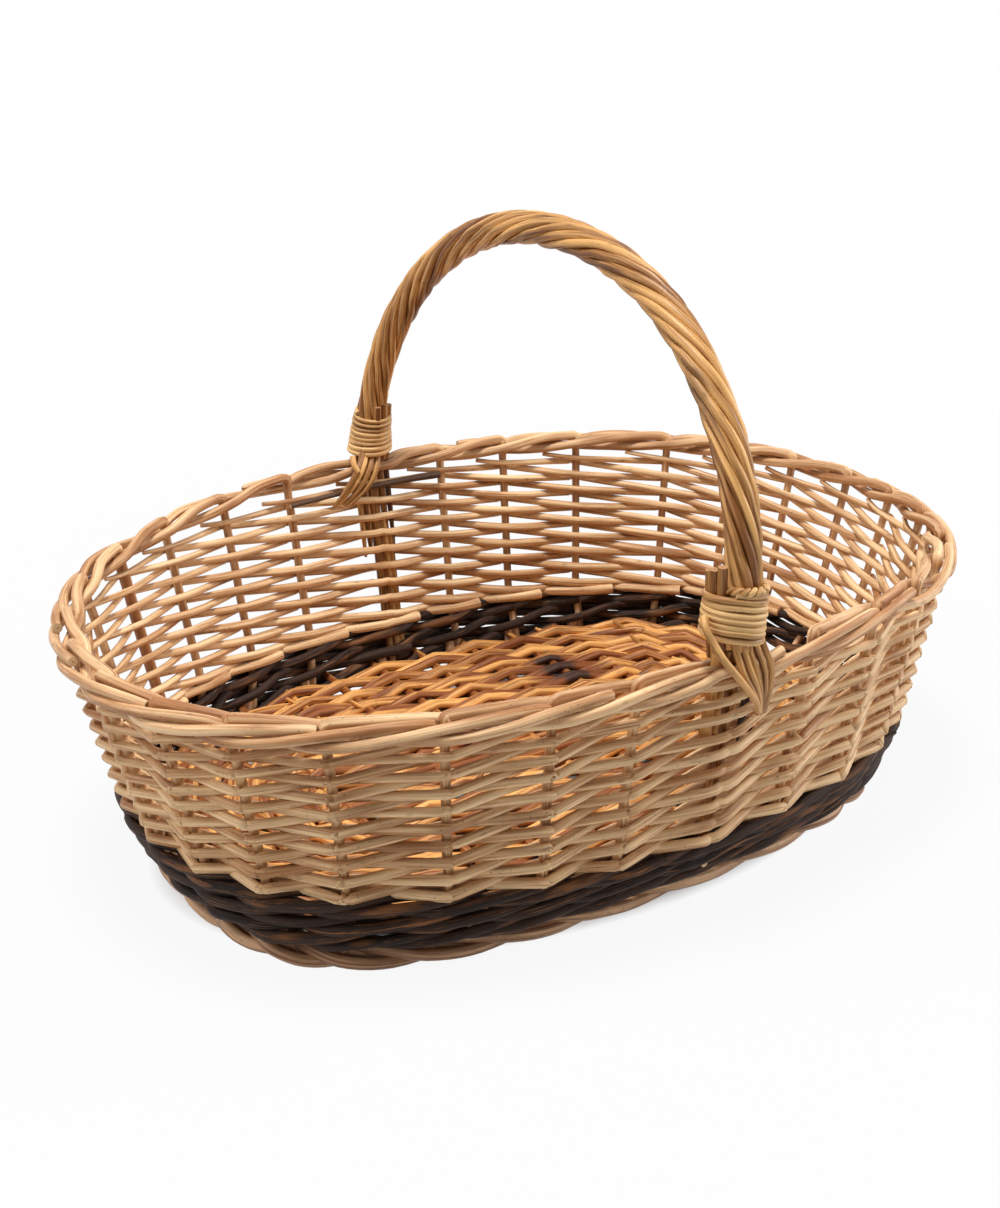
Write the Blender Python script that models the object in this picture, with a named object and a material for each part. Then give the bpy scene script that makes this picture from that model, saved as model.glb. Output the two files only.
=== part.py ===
"""Oval mushroom foraging basket of willow rods, with a roped handle over its short axis.

Metres, +Z up, +X along the basket. The origin lies under the middle of the basket, on the floor.
Every rod is a tube of its own that passes its neighbours with a small clearance.
"""

import bisect
import functools
import math

import bmesh
import bpy
from mathutils import Vector

# Clearances between rods that touch on the real basket
CLEARANCE = 0.0003
WEAVE_SLACK = 0.0004
WELD_DISTANCE = 0.00001

# Ovals of the basket, seen from above: half length, half width and height of each
RIM_HALF_LENGTH = 0.2550
RIM_HALF_WIDTH = 0.1792
RIM_HEIGHT = 0.1416
RIM_SADDLE = 0.0041
BAND_HALF_LENGTH = 0.2343
BAND_HALF_WIDTH = 0.1625
BAND_TOP_HEIGHT = 0.0485
FOOT_HALF_LENGTH = 0.2200
FOOT_HALF_WIDTH = 0.1435
FOOT_SHIFT_X = -0.0050
FOOT_SHIFT_Y = 0.0030

# How far each oval's long and short sides swell into its corners
RIM_CORNER_SHARES = (-0.0114, 0.0235)
BAND_CORNER_SHARES = (-0.0246, 0.0159)
FOOT_CORNER_SHARES = (-0.0729, 0.0436)

# Upright stakes: thirty places round the wall, two of them taken by the handle's legs
PLACES = 30
FIRST_PLACE_ANGLE = math.radians(5.0)
LOOK_ROUND = math.radians(1.0)
BACK_LEG_PLACE = 7
FRONT_LEG_PLACE = 22
STAKE_RADIUS = 0.0030
STAKE_TIP_RADIUS = 0.0022
SHIFT_SHARES = (
    -0.04, 0.03, 0.08, 0.12, 0.45, 0.45, 0.27, 0.163, 0.25, 0.15,
    0.08, 0.00, 0.00, 0.00, 0.00, 0.05, 0.12, 0.15, 0.22, 0.38,
    0.38, 0.18, 0.157, 0.12, 0.10, 0.03, 0.00, 0.00, 0.00, -0.02,
)

# Rolled border: each stake is turned down over the rim and runs round it past the next four places.
# Its course gives the places it has passed, and how far across and up it lies there in border steps.
BORDER_RADIUS = 0.00275
BORDER_STEP = 0.0061
BORDER_COURSE_SHARES = (
    (0.00, 0.00, 0.55),
    (0.12, -0.05, 0.95),
    (0.50, -0.38, 0.85),
    (1.00, -1.00, 0.15),
    (1.50, -0.05, -0.75),
    (2.00, 1.00, -0.75),
    (2.50, 1.12, -0.25),
    (3.00, 1.00, 0.35),
    (3.50, 0.72, 0.75),
    (3.88, 0.58, 0.85),
)
BORDER_LOWEST_SHARE = 0.75
BORDER_PAST_LEG_SHARE = 1.24
ELBOW_DROP = 0.0050

# Peeled rods of the wall, dark rods of the band below them, and the foot
SIDE_RADIUS = 0.00235
SIDE_PITCH = 0.0110
DARK_RADIUS = 0.00255
DARK_PITCH = 0.00547
DARK_TURNS = 2
DARK_FIRST_PLACE = 1
DARK_STEP_PLACES = 3
FOOT_RADIUS = 0.0026
FOOT_REACH = 0.0036
FOOT_CUT = 0.0008
FOOT_STRANDS = 3
FOOT_TWISTS = 7
FOOT_STEPS_PER_TWIST = 8

# Base: eight cross sticks, slit for two long sticks, and two rods woven round them
STICK_RADIUS = 0.0033
STICK_SLIT_RADIUS = 0.0040
STICK_TIP_RADIUS = 0.0016
STICK_TIP_LENGTH = 0.0185
STICK_SHOULDER_LENGTH = 0.0045
STICK_SLIT_LENGTH = 0.0160
STICK_PAST_WALL = 0.0085
STICK_MIDDLE = 0.0225
CROSS_STICKS = 8
BACK_PLACES = (1, 13)
FRONT_PLACES = (16, 28)
SEEK_STEPS = 240
SEAT_SHARE = 0.17
LONG_RADIUS = 0.0021
FAN_START = 0.0080
FAN_PLACES = (1.5, 12.5, 16.5, 27.5)
BASE_ROD_RADIUS = 0.0018
BASE_PITCH = 0.0148
BASE_HALF_LENGTH = 0.1950
BASE_END_ROOM = 0.0750
BASE_CORE_HALF_LENGTH = BASE_HALF_LENGTH - BASE_END_ROOM
BASE_FIRST_END = 0.0115
STICK_END_ROOM = 0.0830
STICK_PITCH = 2 * (BASE_HALF_LENGTH - STICK_END_ROOM) / (CROSS_STICKS - 1)
BASE_HALF_WIDTH = 0.1310
BASE_FIRST_OFFSET = 0.0110
SAME_SIDE_LENGTH = 0.0200
LONG_GAP_LENGTH = 0.0550
STEPS_PER_ROUND = 240

# Handle: a bow of one thick rod, roped with nine thinner ones and bound above the border
HANDLE_HEIGHT = 0.3211
HANDLE_START_RISE = 0.0125
HANDLE_LEAN_X = 0.0150
HANDLE_LEAN_Y = -0.0089
HANDLE_FULLNESS = 2.1
BOW_RADIUS = 0.0042
BOW_STEPS = 36
HANDLE_FINE_STEPS = 400
HANDLE_LOOK_STEPS = 4
ROPE_RADIUS = 0.0020
ROPE_RODS = 9
ROPE_LAY = 0.1520
ROPE_STEPS = 37
BINDING_RADIUS = 0.00175
BINDING_PITCH = 0.0043
BINDING_TURNS = 6
BINDING_STEPS_PER_TURN = 24
BINDING_RISE = 0.0030

FOOT_TOP = 2 * (FOOT_REACH + FOOT_RADIUS) - FOOT_CUT
FOOT_MIDDLE = FOOT_REACH + FOOT_RADIUS - FOOT_CUT
BORDER_DEPTH = BORDER_LOWEST_SHARE * BORDER_STEP + BORDER_RADIUS
DARK_FIRST = FOOT_TOP + CLEARANCE + DARK_RADIUS
SEAT_HEIGHT = DARK_FIRST + DARK_RADIUS + CLEARANCE + STICK_TIP_RADIUS
DARK_SECOND = SEAT_HEIGHT + STICK_TIP_RADIUS + CLEARANCE + DARK_RADIUS
DARK_STARTS = (DARK_FIRST, DARK_SECOND, DARK_SECOND + DARK_PITCH)
LEG_PLACES = (BACK_LEG_PLACE, FRONT_LEG_PLACE)

PEELED = ("peeled_willow", (0.72, 0.52, 0.32), 0.55)
STAKE_BROWN = ("stake_willow", (0.45, 0.29, 0.15), 0.6)
DARK_BARK = ("dark_willow", (0.055, 0.035, 0.03), 0.6)
BASE_BROWN = ("base_willow", (0.52, 0.27, 0.09), 0.55)
HANDLE_GOLD = ("handle_willow", (0.58, 0.35, 0.13), 0.5)


def clear_scene():
    for thing in list(bpy.data.objects):
        bpy.data.objects.remove(thing, do_unlink=True)


def finish(spec):
    """The material of one kind of willow, made once."""
    name, colour, roughness = spec
    material = bpy.data.materials.get(name)
    if material is None:
        material = bpy.data.materials.new(name)
        material.use_nodes = True
        shader = material.node_tree.nodes["Principled BSDF"]
        shader.inputs["Base Color"].default_value = (*colour, 1.0)
        shader.inputs["Roughness"].default_value = roughness
        shader.inputs["Metallic"].default_value = 0.0
    return material


def rod(name, points, radii, spec, roundness=0, closed=False):
    """One willow rod along the points; roundness 0 gives it four sides and 1 gives it six."""
    curve = bpy.data.curves.new(name, "CURVE")
    curve.dimensions = "3D"
    curve.bevel_depth = max(radii)
    curve.bevel_resolution = roundness
    curve.use_fill_caps = not closed
    spline = curve.splines.new("POLY")
    spline.points.add(len(points) - 1)
    for place, point, radius in zip(spline.points, points, radii):
        place.co = (*point, 1.0)
        place.radius = radius / max(radii)
    spline.use_cyclic_u = closed
    spline.use_smooth = True
    curve.materials.append(finish(spec))
    made = bpy.data.objects.new(name, curve)
    bpy.context.scene.collection.objects.link(made)
    return made


def as_mesh(thing):
    """The same object with its curve turned into a mesh."""
    graph = bpy.context.evaluated_depsgraph_get()
    mesh = bpy.data.meshes.new_from_object(thing.evaluated_get(graph))
    name = thing.name
    bpy.data.objects.remove(thing, do_unlink=True)
    made = bpy.data.objects.new(name, mesh)
    bpy.context.scene.collection.objects.link(made)
    return made


def oval(angle, half_length, half_width, shares):
    x = half_length * (math.cos(angle) + shares[0] * math.cos(3 * angle))
    y = half_width * (math.sin(angle) + shares[1] * math.sin(3 * angle))
    return x, y


def rim_height(angle):
    """The middle of the border, a little higher along the sides than at the ends."""
    return RIM_HEIGHT - RIM_SADDLE * math.cos(2 * angle)


def blend(height, low, middle, high):
    """A value at this height, between the foot, the top of the dark band and the rim."""
    if height < BAND_TOP_HEIGHT:
        share = (height - FOOT_MIDDLE) / (BAND_TOP_HEIGHT - FOOT_MIDDLE)
        return low + (middle - low) * share
    share = (height - BAND_TOP_HEIGHT) / (RIM_HEIGHT - BAND_TOP_HEIGHT)
    return middle + (high - middle) * share


def wall(angle, height):
    """The stakes' surface: its middle at this angle and height."""
    foot = oval(angle, FOOT_HALF_LENGTH, FOOT_HALF_WIDTH, FOOT_CORNER_SHARES)
    band = oval(angle, BAND_HALF_LENGTH, BAND_HALF_WIDTH, BAND_CORNER_SHARES)
    rim = oval(angle, RIM_HALF_LENGTH, RIM_HALF_WIDTH, RIM_CORNER_SHARES)
    x = blend(height, foot[0] + FOOT_SHIFT_X, band[0], rim[0])
    y = blend(height, foot[1] + FOOT_SHIFT_Y, band[1], rim[1])
    return Vector((x, y, height))


def outward(angle, height):
    """The level direction out of the wall."""
    along = wall(angle + LOOK_ROUND, height) - wall(angle - LOOK_ROUND, height)
    return Vector((along.y, -along.x, 0.0)).normalized()


def place_angle(place):
    """The angle of a stake's place; a place with a fraction lies between two stakes."""
    lower = math.floor(place)
    share = place - lower
    turns = []
    for number in (lower, lower + 1):
        shift = SHIFT_SHARES[number % PLACES]
        turns.append(FIRST_PLACE_ANGLE + (number + shift) * 2 * math.pi / PLACES)
    return turns[0] * (1 - share) + turns[1] * share


def member(place, height):
    """The axis of the upright that stands at this place, and its radius."""
    angle = place_angle(place)
    point = wall(angle, height)
    return point, BOW_RADIUS if place % PLACES in LEG_PLACES else STAKE_RADIUS


def beside(place, height, side, radius):
    """A point of a woven rod that passes the upright on this side of it."""
    point, upright_radius = member(place, height)
    reach = upright_radius + radius + CLEARANCE + WEAVE_SLACK
    return point + side * reach * outward(place_angle(place), height)


def border_point(place, run, across_share, up_share):
    """A point of the border rod that starts at this place and has passed this many places."""
    angle = place_angle(place + run)
    height = rim_height(angle)
    if (place + run) % PLACES in LEG_PLACES:
        across_share *= BORDER_PAST_LEG_SHARE
    across = across_share * BORDER_STEP * outward(angle, height)
    return wall(angle, height) + across + Vector((0.0, 0.0, up_share * BORDER_STEP))


def stake(place, number):
    """One stake: up the wall, over an elbow and round the rim until it meets the fourth stake."""
    angle = place_angle(place)
    top = rim_height(angle) - ELBOW_DROP
    foot = FOOT_TOP + CLEARANCE
    points = [wall(angle, height) for height in (foot, BAND_TOP_HEIGHT, top)]
    radii = [STAKE_RADIUS] * len(points)
    last = BORDER_COURSE_SHARES[-1][0]
    for run, across_share, up_share in BORDER_COURSE_SHARES:
        share = run / last
        points.append(border_point(place, run, across_share, up_share))
        radii.append(BORDER_RADIUS * (1 - share) + STAKE_TIP_RADIUS * share)
    return rod(f"stake_{number:02d}", points, radii, STAKE_BROWN)


def stakes():
    number = 0
    for place in range(PLACES):
        if place not in LEG_PLACES:
            number += 1
            stake(place, number)


def side_height(place, lowest):
    """The height of a wall rod that climbs one pitch in each round, from the band to the border."""
    rise = SIDE_PITCH * place / PLACES
    level_top = RIM_HEIGHT - BORDER_DEPTH
    share = (rise + lowest - BAND_TOP_HEIGHT) / (level_top - BAND_TOP_HEIGHT)
    return lowest + rise + share * (rim_height(place_angle(place)) - RIM_HEIGHT)


def side_weavers():
    """Two peeled rods that chase each other up the wall, in front of one stake and behind the next."""
    lowest = BAND_TOP_HEIGHT + CLEARANCE + SIDE_RADIUS
    highest = RIM_HEIGHT - BORDER_DEPTH - CLEARANCE - SIDE_RADIUS
    last = int((highest - lowest - SIDE_PITCH / 2) / SIDE_PITCH * PLACES)
    for name, rise, phase in (("side_weaver_a", 0.0, 0), ("side_weaver_b", SIDE_PITCH / 2, 1)):
        points = []
        for place in range(last + 1):
            side = 1 if (place + phase) % 2 else -1
            points.append(beside(place, side_height(place, lowest + rise), side, SIDE_RADIUS))
        rod(name, points, [SIDE_RADIUS] * len(points), PEELED)


def dark_height(place, strand):
    """Level rounds with a step up over the last few places of each."""
    row, step = divmod(place - DARK_FIRST_PLACE, PLACES)
    left = PLACES - step
    share = max(0.0, 1 - left / DARK_STEP_PLACES)
    first = DARK_STARTS[strand]
    second = DARK_STARTS[-1] + (strand + 1) * DARK_PITCH
    return first + (second - first) * (row + share)


def dark_weavers():
    """Three unpeeled rods waled round the foot of the wall, in front of two stakes and behind one."""
    last = DARK_FIRST_PLACE + DARK_TURNS * PLACES - DARK_STEP_PLACES
    for strand in range(3):
        points = []
        for place in range(DARK_FIRST_PLACE, last + 1):
            side = -1 if (place + strand) % 3 == 0 else 1
            points.append(beside(place, dark_height(place, strand), side, DARK_RADIUS + CLEARANCE))
        rod(f"dark_weaver_{strand + 1}", points, [DARK_RADIUS] * len(points), DARK_BARK)


def flatten_underside(thing):
    """Cuts the rods of the foot flat where the basket stands."""
    shape = bmesh.new()
    shape.from_mesh(thing.data)
    bmesh.ops.remove_doubles(shape, verts=shape.verts, dist=WELD_DISTANCE)
    everything = shape.verts[:] + shape.edges[:] + shape.faces[:]
    bmesh.ops.bisect_plane(shape, geom=everything, plane_no=(0.0, 0.0, -1.0), clear_outer=True)
    open_edges = [edge for edge in shape.edges if edge.is_boundary]
    bmesh.ops.holes_fill(shape, edges=open_edges)
    bmesh.ops.recalc_face_normals(shape, faces=shape.faces)
    shape.to_mesh(thing.data)
    shape.free()


def foot_border():
    """Three peeled rods twisted round the foot, on which the stakes and the base stand."""
    steps = FOOT_TWISTS * FOOT_STEPS_PER_TWIST
    for strand in range(FOOT_STRANDS):
        points = []
        for step in range(steps):
            angle = 2 * math.pi * step / steps
            turn = 2 * math.pi * (step / FOOT_STEPS_PER_TWIST + strand / FOOT_STRANDS)
            point = wall(angle, FOOT_MIDDLE)
            across = FOOT_REACH * math.cos(turn) * outward(angle, FOOT_MIDDLE)
            points.append(point + across + Vector((0.0, 0.0, FOOT_REACH * math.sin(turn))))
        made = rod(f"foot_rod_{strand + 1}", points, [FOOT_RADIUS] * steps, PEELED, closed=True)
        flatten_underside(as_mesh(made))


def stick_seat(place):
    """Where a base stick's end lies on the first dark rod, in a gap between two stakes."""
    angle = place_angle(place)
    return wall(angle, SEAT_HEIGHT) + STICK_PAST_WALL * outward(angle, SEAT_HEIGHT)


def gap_place(x, places):
    """The place in a gap between two stakes that comes nearest to this x, on one side of the basket."""
    first, last = places
    spots = [first + (last - first) * step / SEEK_STEPS for step in range(SEEK_STEPS + 1)]
    nearest = min(spots, key=lambda spot: abs(stick_seat(spot).x - x))
    lower = math.floor(nearest)
    return lower + min(max(nearest - lower, SEAT_SHARE), 1 - SEAT_SHARE)


def towards(start, end, length, height=STICK_MIDDLE):
    """The point this far along the line from start to end as seen from above, at this height."""
    point = start + (end - start).normalized() * length
    return Vector((point.x, point.y, height))


def slit_cutter(centre):
    """A box through a cross stick for the pair of long sticks."""
    mesh = bpy.data.meshes.new("slit_cutter")
    shape = bmesh.new()
    bmesh.ops.create_cube(shape, size=1.0)
    across = 2 * (2 * LONG_RADIUS + CLEARANCE) + 2 * CLEARANCE
    sizes = (4 * STICK_SLIT_RADIUS, across, 2 * (LONG_RADIUS + CLEARANCE))
    bmesh.ops.scale(shape, vec=sizes, verts=shape.verts)
    shape.to_mesh(mesh)
    shape.free()
    cutter = bpy.data.objects.new("slit_cutter", mesh)
    cutter.location = centre
    cutter.hide_render = True
    cutter.display_type = "WIRE"
    bpy.context.scene.collection.objects.link(cutter)
    return cutter


def cross_stick_line(number):
    """The two seats of a cross stick and the point where it crosses the middle of the base."""
    x = FOOT_SHIFT_X + ((CROSS_STICKS - 1) / 2 - number) * STICK_PITCH
    back = stick_seat(gap_place(x, BACK_PLACES))
    front = stick_seat(gap_place(x, FRONT_PLACES))
    share = -front.y / (back.y - front.y)
    middle = front.lerp(back, share)
    return back, front, Vector((middle.x, 0.0, STICK_MIDDLE))


def cross_sticks():
    """Stout sticks across the base, thinned where they lie on a dark rod and slit at the middle."""
    for number in range(CROSS_STICKS):
        back, front, middle = cross_stick_line(number)
        points = [
            back,
            towards(back, front, STICK_TIP_LENGTH, SEAT_HEIGHT),
            towards(back, front, STICK_TIP_LENGTH + STICK_SHOULDER_LENGTH),
            towards(middle, back, STICK_SLIT_LENGTH),
            towards(middle, back, STICK_SLIT_LENGTH / 2),
            towards(middle, front, STICK_SLIT_LENGTH / 2),
            towards(middle, front, STICK_SLIT_LENGTH),
            towards(front, back, STICK_TIP_LENGTH + STICK_SHOULDER_LENGTH),
            towards(front, back, STICK_TIP_LENGTH, SEAT_HEIGHT),
            front,
        ]
        radii = [STICK_TIP_RADIUS, STICK_TIP_RADIUS, STICK_RADIUS, STICK_RADIUS, STICK_SLIT_RADIUS]
        stick = as_mesh(rod(f"cross_stick_{number + 1}", points, radii + radii[::-1], BASE_BROWN, 1))
        cut = stick.modifiers.new("slit", "BOOLEAN")
        cut.operation = "DIFFERENCE"
        cut.solver = "EXACT"
        cut.object = slit_cutter(middle)


def long_stick_line(side):
    """A long stick: fanned at both ends, straight through the slits between them."""
    right_place, left_place = FAN_PLACES[:2] if side > 0 else FAN_PLACES[:1:-1]
    offset = side * (LONG_RADIUS + CLEARANCE / 2)
    right = cross_stick_line(0)[2].x + FAN_START
    left = cross_stick_line(CROSS_STICKS - 1)[2].x - FAN_START
    right_seat = stick_seat(right_place)
    left_seat = stick_seat(left_place)
    right_turn = Vector((right, offset, STICK_MIDDLE))
    left_turn = Vector((left, offset, STICK_MIDDLE))
    return [
        left_seat,
        towards(left_seat, left_turn, STICK_TIP_LENGTH, SEAT_HEIGHT),
        towards(left_seat, left_turn, STICK_TIP_LENGTH + STICK_SHOULDER_LENGTH),
        left_turn,
        right_turn,
        towards(right_seat, right_turn, STICK_TIP_LENGTH + STICK_SHOULDER_LENGTH),
        towards(right_seat, right_turn, STICK_TIP_LENGTH, SEAT_HEIGHT),
        right_seat,
    ]


def long_sticks():
    for name, side in (("long_stick_back", 1), ("long_stick_front", -1)):
        points = long_stick_line(side)
        radii = [STICK_TIP_RADIUS] * 2 + [LONG_RADIUS] * (len(points) - 4) + [STICK_TIP_RADIUS] * 2
        rod(name, points, radii, BASE_BROWN, 1)


def base_round(turns, offset):
    """A point of the oval at this distance from the core line: straight sides and rounded ends."""
    quarters = 4 * (turns % 1.0)
    core = BASE_CORE_HALF_LENGTH
    share = (offset - BASE_FIRST_OFFSET) / (BASE_HALF_WIDTH - BASE_FIRST_OFFSET)
    reach = BASE_FIRST_END + share * (BASE_HALF_LENGTH - core - BASE_FIRST_END)
    side = math.floor(quarters)
    share = quarters - side
    if side == 0:
        turn = math.pi * (share - 0.5)
        return Vector((core + reach * math.cos(turn), offset * math.sin(turn), 0.0))
    if side == 1:
        return Vector((core * (1 - 2 * share), offset, 0.0))
    if side == 2:
        turn = math.pi * (share + 0.5)
        return Vector((-core + reach * math.cos(turn), offset * math.sin(turn), 0.0))
    return Vector((core * (2 * share - 1), -offset, 0.0))


def crossing(start, end, stick_start, stick_end):
    """The point where the path from start to end meets a stick, seen from above, or nothing."""
    path = (end - start).to_2d()
    stick = (stick_end - stick_start).to_2d()
    gap = (stick_start - start).to_2d()
    spread = path.x * stick.y - path.y * stick.x
    if spread == 0:
        return None
    on_path = (gap.x * stick.y - gap.y * stick.x) / spread
    on_stick = (gap.x * path.y - gap.y * path.x) / spread
    if 0 <= on_path < 1 and 0 <= on_stick <= 1:
        return start + (end - start) * on_path
    return None


def base_sticks_seen_from_above():
    """Each straight run of every base stick, with the stick's radius."""
    runs = []
    for number in range(CROSS_STICKS):
        back, front, _ = cross_stick_line(number)
        runs.append((back, front, STICK_RADIUS))
    for side in (1, -1):
        line = long_stick_line(side)
        runs += [(start, end, LONG_RADIUS) for start, end in zip(line, line[1:])]
    return runs


def rounds_at_the_ends():
    """How many rounds of the two base rods, laid side by side, fit beyond the outermost sticks."""
    room = BASE_HALF_LENGTH - BASE_CORE_HALF_LENGTH - BASE_FIRST_END
    return room / (2 * (2 * BASE_ROD_RADIUS + CLEARANCE))


def base_weaver(name, first_turn, side):
    """A rod woven over and under the sticks, from the middle of the base outwards."""
    sticks = base_sticks_seen_from_above()
    room = BASE_HALF_WIDTH - BASE_FIRST_OFFSET
    pitch = max(BASE_PITCH, room / rounds_at_the_ends())
    rounds = (room - pitch / 2) / pitch
    steps = int(rounds * STEPS_PER_ROUND)
    outer_sticks = cross_stick_line(0)[2] + cross_stick_line(CROSS_STICKS - 1)[2]
    shift = Vector((outer_sticks.x / 2, FOOT_SHIFT_Y, 0.0))
    path = []
    for step in range(steps + 1):
        turns = step / STEPS_PER_ROUND
        offset = BASE_FIRST_OFFSET + turns * pitch
        path.append(base_round(turns + first_turn, offset) + shift)
    crossings = []
    for step, (start, end) in enumerate(zip(path, path[1:])):
        for stick_start, stick_end, _ in sticks:
            point = crossing(start, end, stick_start, stick_end)
            if point is None:
                continue
            if not crossings or (point - crossings[-1][1]).length > SAME_SIDE_LENGTH:
                side = -side
            near_slit = abs(point.y - shift.y) < STICK_SLIT_LENGTH
            thickest = STICK_SLIT_RADIUS if near_slit else STICK_RADIUS
            reach = thickest + BASE_ROD_RADIUS + CLEARANCE + 2 * WEAVE_SLACK
            crossings.append((step, point, STICK_MIDDLE + side * reach))
    line = []
    for (step, point, height), (next_step, next_point, _) in zip(crossings, crossings[1:]):
        line.append(Vector((point.x, point.y, height)))
        if (next_point - point).length > LONG_GAP_LENGTH:
            between = path[(step + next_step) // 2]
            line.append(Vector((between.x, between.y, STICK_MIDDLE)))
    rod(name, line, [BASE_ROD_RADIUS] * len(line), BASE_BROWN)


def handle_point(share):
    """The bow's axis, from the back leg's top at 0 over the basket to the front leg's top at 1."""
    ends = []
    for place in LEG_PLACES:
        height = rim_height(place_angle(place)) + HANDLE_START_RISE
        ends.append(member(place, height)[0])
    turn = math.pi * share
    level = math.cos(turn)
    spread = math.copysign(abs(level) ** (2 / HANDLE_FULLNESS), level)
    rise = max(0.0, math.sin(turn)) ** (2 / HANDLE_FULLNESS)
    back_share = (1 + spread) / 2
    foot = ends[1].lerp(ends[0], back_share)
    lean = math.sin(turn)
    x = foot.x + HANDLE_LEAN_X * lean
    y = foot.y + HANDLE_LEAN_Y * lean
    return Vector((x, y, foot.z + (HANDLE_HEIGHT - foot.z) * rise))


@functools.lru_cache
def measured_handle():
    """Points of the bow's axis above the border, with the length of the bow up to each."""
    points = [handle_point(step / HANDLE_FINE_STEPS) for step in range(HANDLE_FINE_STEPS + 1)]
    lengths = [0.0]
    for start, end in zip(points, points[1:]):
        lengths.append(lengths[-1] + (end - start).length)
    return points, lengths


def along_handle(length):
    """The axis point and direction of the bow this far from the start of its arch."""
    points, lengths = measured_handle()
    spot = min(max(bisect.bisect_left(lengths, length), 1), HANDLE_FINE_STEPS)
    start, end = points[spot - 1], points[spot]
    share = (length - lengths[spot - 1]) / (lengths[spot] - lengths[spot - 1])
    behind = points[max(spot - HANDLE_LOOK_STEPS, 0)]
    ahead = points[min(spot + HANDLE_LOOK_STEPS - 1, HANDLE_FINE_STEPS)]
    return start.lerp(end, share), (ahead - behind).normalized()


def handle_length():
    return measured_handle()[1][-1]


def round_handle(length, radius, turn):
    """A point this far out from the bow's axis, turned round it."""
    point, direction = along_handle(length)
    first = (Vector((1.0, 0.0, 0.0)) - direction * direction.x).normalized()
    second = direction.cross(first)
    return point + radius * (math.cos(turn) * first + math.sin(turn) * second)


def leg_points(place):
    """The bow's leg: down the wall between the woven rods to the foot."""
    top = rim_height(place_angle(place)) - ELBOW_DROP
    heights = (FOOT_TOP + CLEARANCE, BAND_TOP_HEIGHT, top)
    return [member(place, height)[0] for height in heights]


def handle_bow():
    points = leg_points(BACK_LEG_PLACE)
    whole = handle_length()
    points += [along_handle(whole * step / BOW_STEPS)[0] for step in range(BOW_STEPS + 1)]
    points += leg_points(FRONT_LEG_PLACE)[::-1]
    rod("handle_bow", points, [BOW_RADIUS] * len(points), HANDLE_GOLD, 1)


def handle_roping():
    """Nine rods laid round the bow like the strands of a rope."""
    whole = handle_length()
    reach = BOW_RADIUS + ROPE_RADIUS + CLEARANCE + WEAVE_SLACK / 4
    for strand in range(ROPE_RODS):
        points = []
        for step in range(ROPE_STEPS):
            length = whole * step / (ROPE_STEPS - 1)
            turn = 2 * math.pi * (strand / ROPE_RODS - length / ROPE_LAY)
            points.append(round_handle(length, reach, turn))
        rod(f"rope_rod_{strand + 1}", points, [ROPE_RADIUS] * len(points), HANDLE_GOLD)


def least_gap_to_itself(points, radius, steps_per_turn):
    """The smallest gap between two turns of a winding, measured on its points."""
    least = math.inf
    for first, point in enumerate(points):
        for other in points[first + steps_per_turn // 2:]:
            least = min(least, (point - other).length - 2 * radius)
    return least


def handle_bindings():
    """A thinner rod wound round the roping above the border, once on each leg."""
    whole = handle_length()
    reach = BOW_RADIUS + 2 * ROPE_RADIUS + BINDING_RADIUS + 2 * CLEARANCE + WEAVE_SLACK
    for name, start, way in (("back_binding", 0.0, 1), ("front_binding", whole, -1)):
        points = []
        for step in range(BINDING_TURNS * BINDING_STEPS_PER_TURN + 1):
            turns = step / BINDING_STEPS_PER_TURN
            length = start + way * (BINDING_RISE + turns * BINDING_PITCH)
            points.append(round_handle(length, reach, way * 2 * math.pi * turns))
        gap = least_gap_to_itself(points, BINDING_RADIUS, BINDING_STEPS_PER_TURN)
        print(f"{name}: least gap to itself {gap * 1000:.2f} mm")
        rod(name, points, [BINDING_RADIUS] * len(points), PEELED, 1)


clear_scene()
stakes()
side_weavers()
dark_weavers()
foot_border()
cross_sticks()
long_sticks()
base_weaver("base_weaver_a", 0.0, 1)
base_weaver("base_weaver_b", 0.5, 1)
handle_bow()
handle_roping()
handle_bindings()
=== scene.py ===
"""An oval foraging basket of willow with a roped handle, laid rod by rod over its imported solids.

Metres, +Z up, +X along the basket. A place is a stake's place in the wall: there are thirty of them,
counted anticlockwise from the right end as seen from above.
"""

import math
import random

import bpy
from mathutils import Matrix, Vector


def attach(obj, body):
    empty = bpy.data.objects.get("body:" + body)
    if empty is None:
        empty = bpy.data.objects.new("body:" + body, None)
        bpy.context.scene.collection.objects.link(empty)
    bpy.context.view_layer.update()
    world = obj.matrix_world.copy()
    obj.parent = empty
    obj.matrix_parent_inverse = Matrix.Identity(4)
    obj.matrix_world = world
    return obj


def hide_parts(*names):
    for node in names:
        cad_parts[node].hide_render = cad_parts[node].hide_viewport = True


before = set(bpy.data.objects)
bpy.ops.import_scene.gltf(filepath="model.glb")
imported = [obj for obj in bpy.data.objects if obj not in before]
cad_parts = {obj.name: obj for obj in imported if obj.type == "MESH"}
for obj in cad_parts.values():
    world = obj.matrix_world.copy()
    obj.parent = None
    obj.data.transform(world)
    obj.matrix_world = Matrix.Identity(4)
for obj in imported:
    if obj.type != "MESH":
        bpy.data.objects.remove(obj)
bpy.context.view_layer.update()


# Camera. It stands off the basket's left end and looks down on it, at the photograph's angle.
# The focal length and the offsets are in pixels of a 1000 x 1208 image.
IMAGE_HEIGHT_PX = 1208
FOCAL_PX = 1725.25
OFFSET_X_PX = 25.88
OFFSET_Y_PX = 8.61
CAMERA_AZIMUTH = math.radians(-32.639)
CAMERA_ELEVATION = math.radians(23.128)
CAMERA_ROLL = math.radians(0.26)
CAMERA_DISTANCE = 0.9611
CAMERA_AIM = Vector((0.0, 0.0, 0.120))
CAMERA_NEAREST = 0.01


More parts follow.
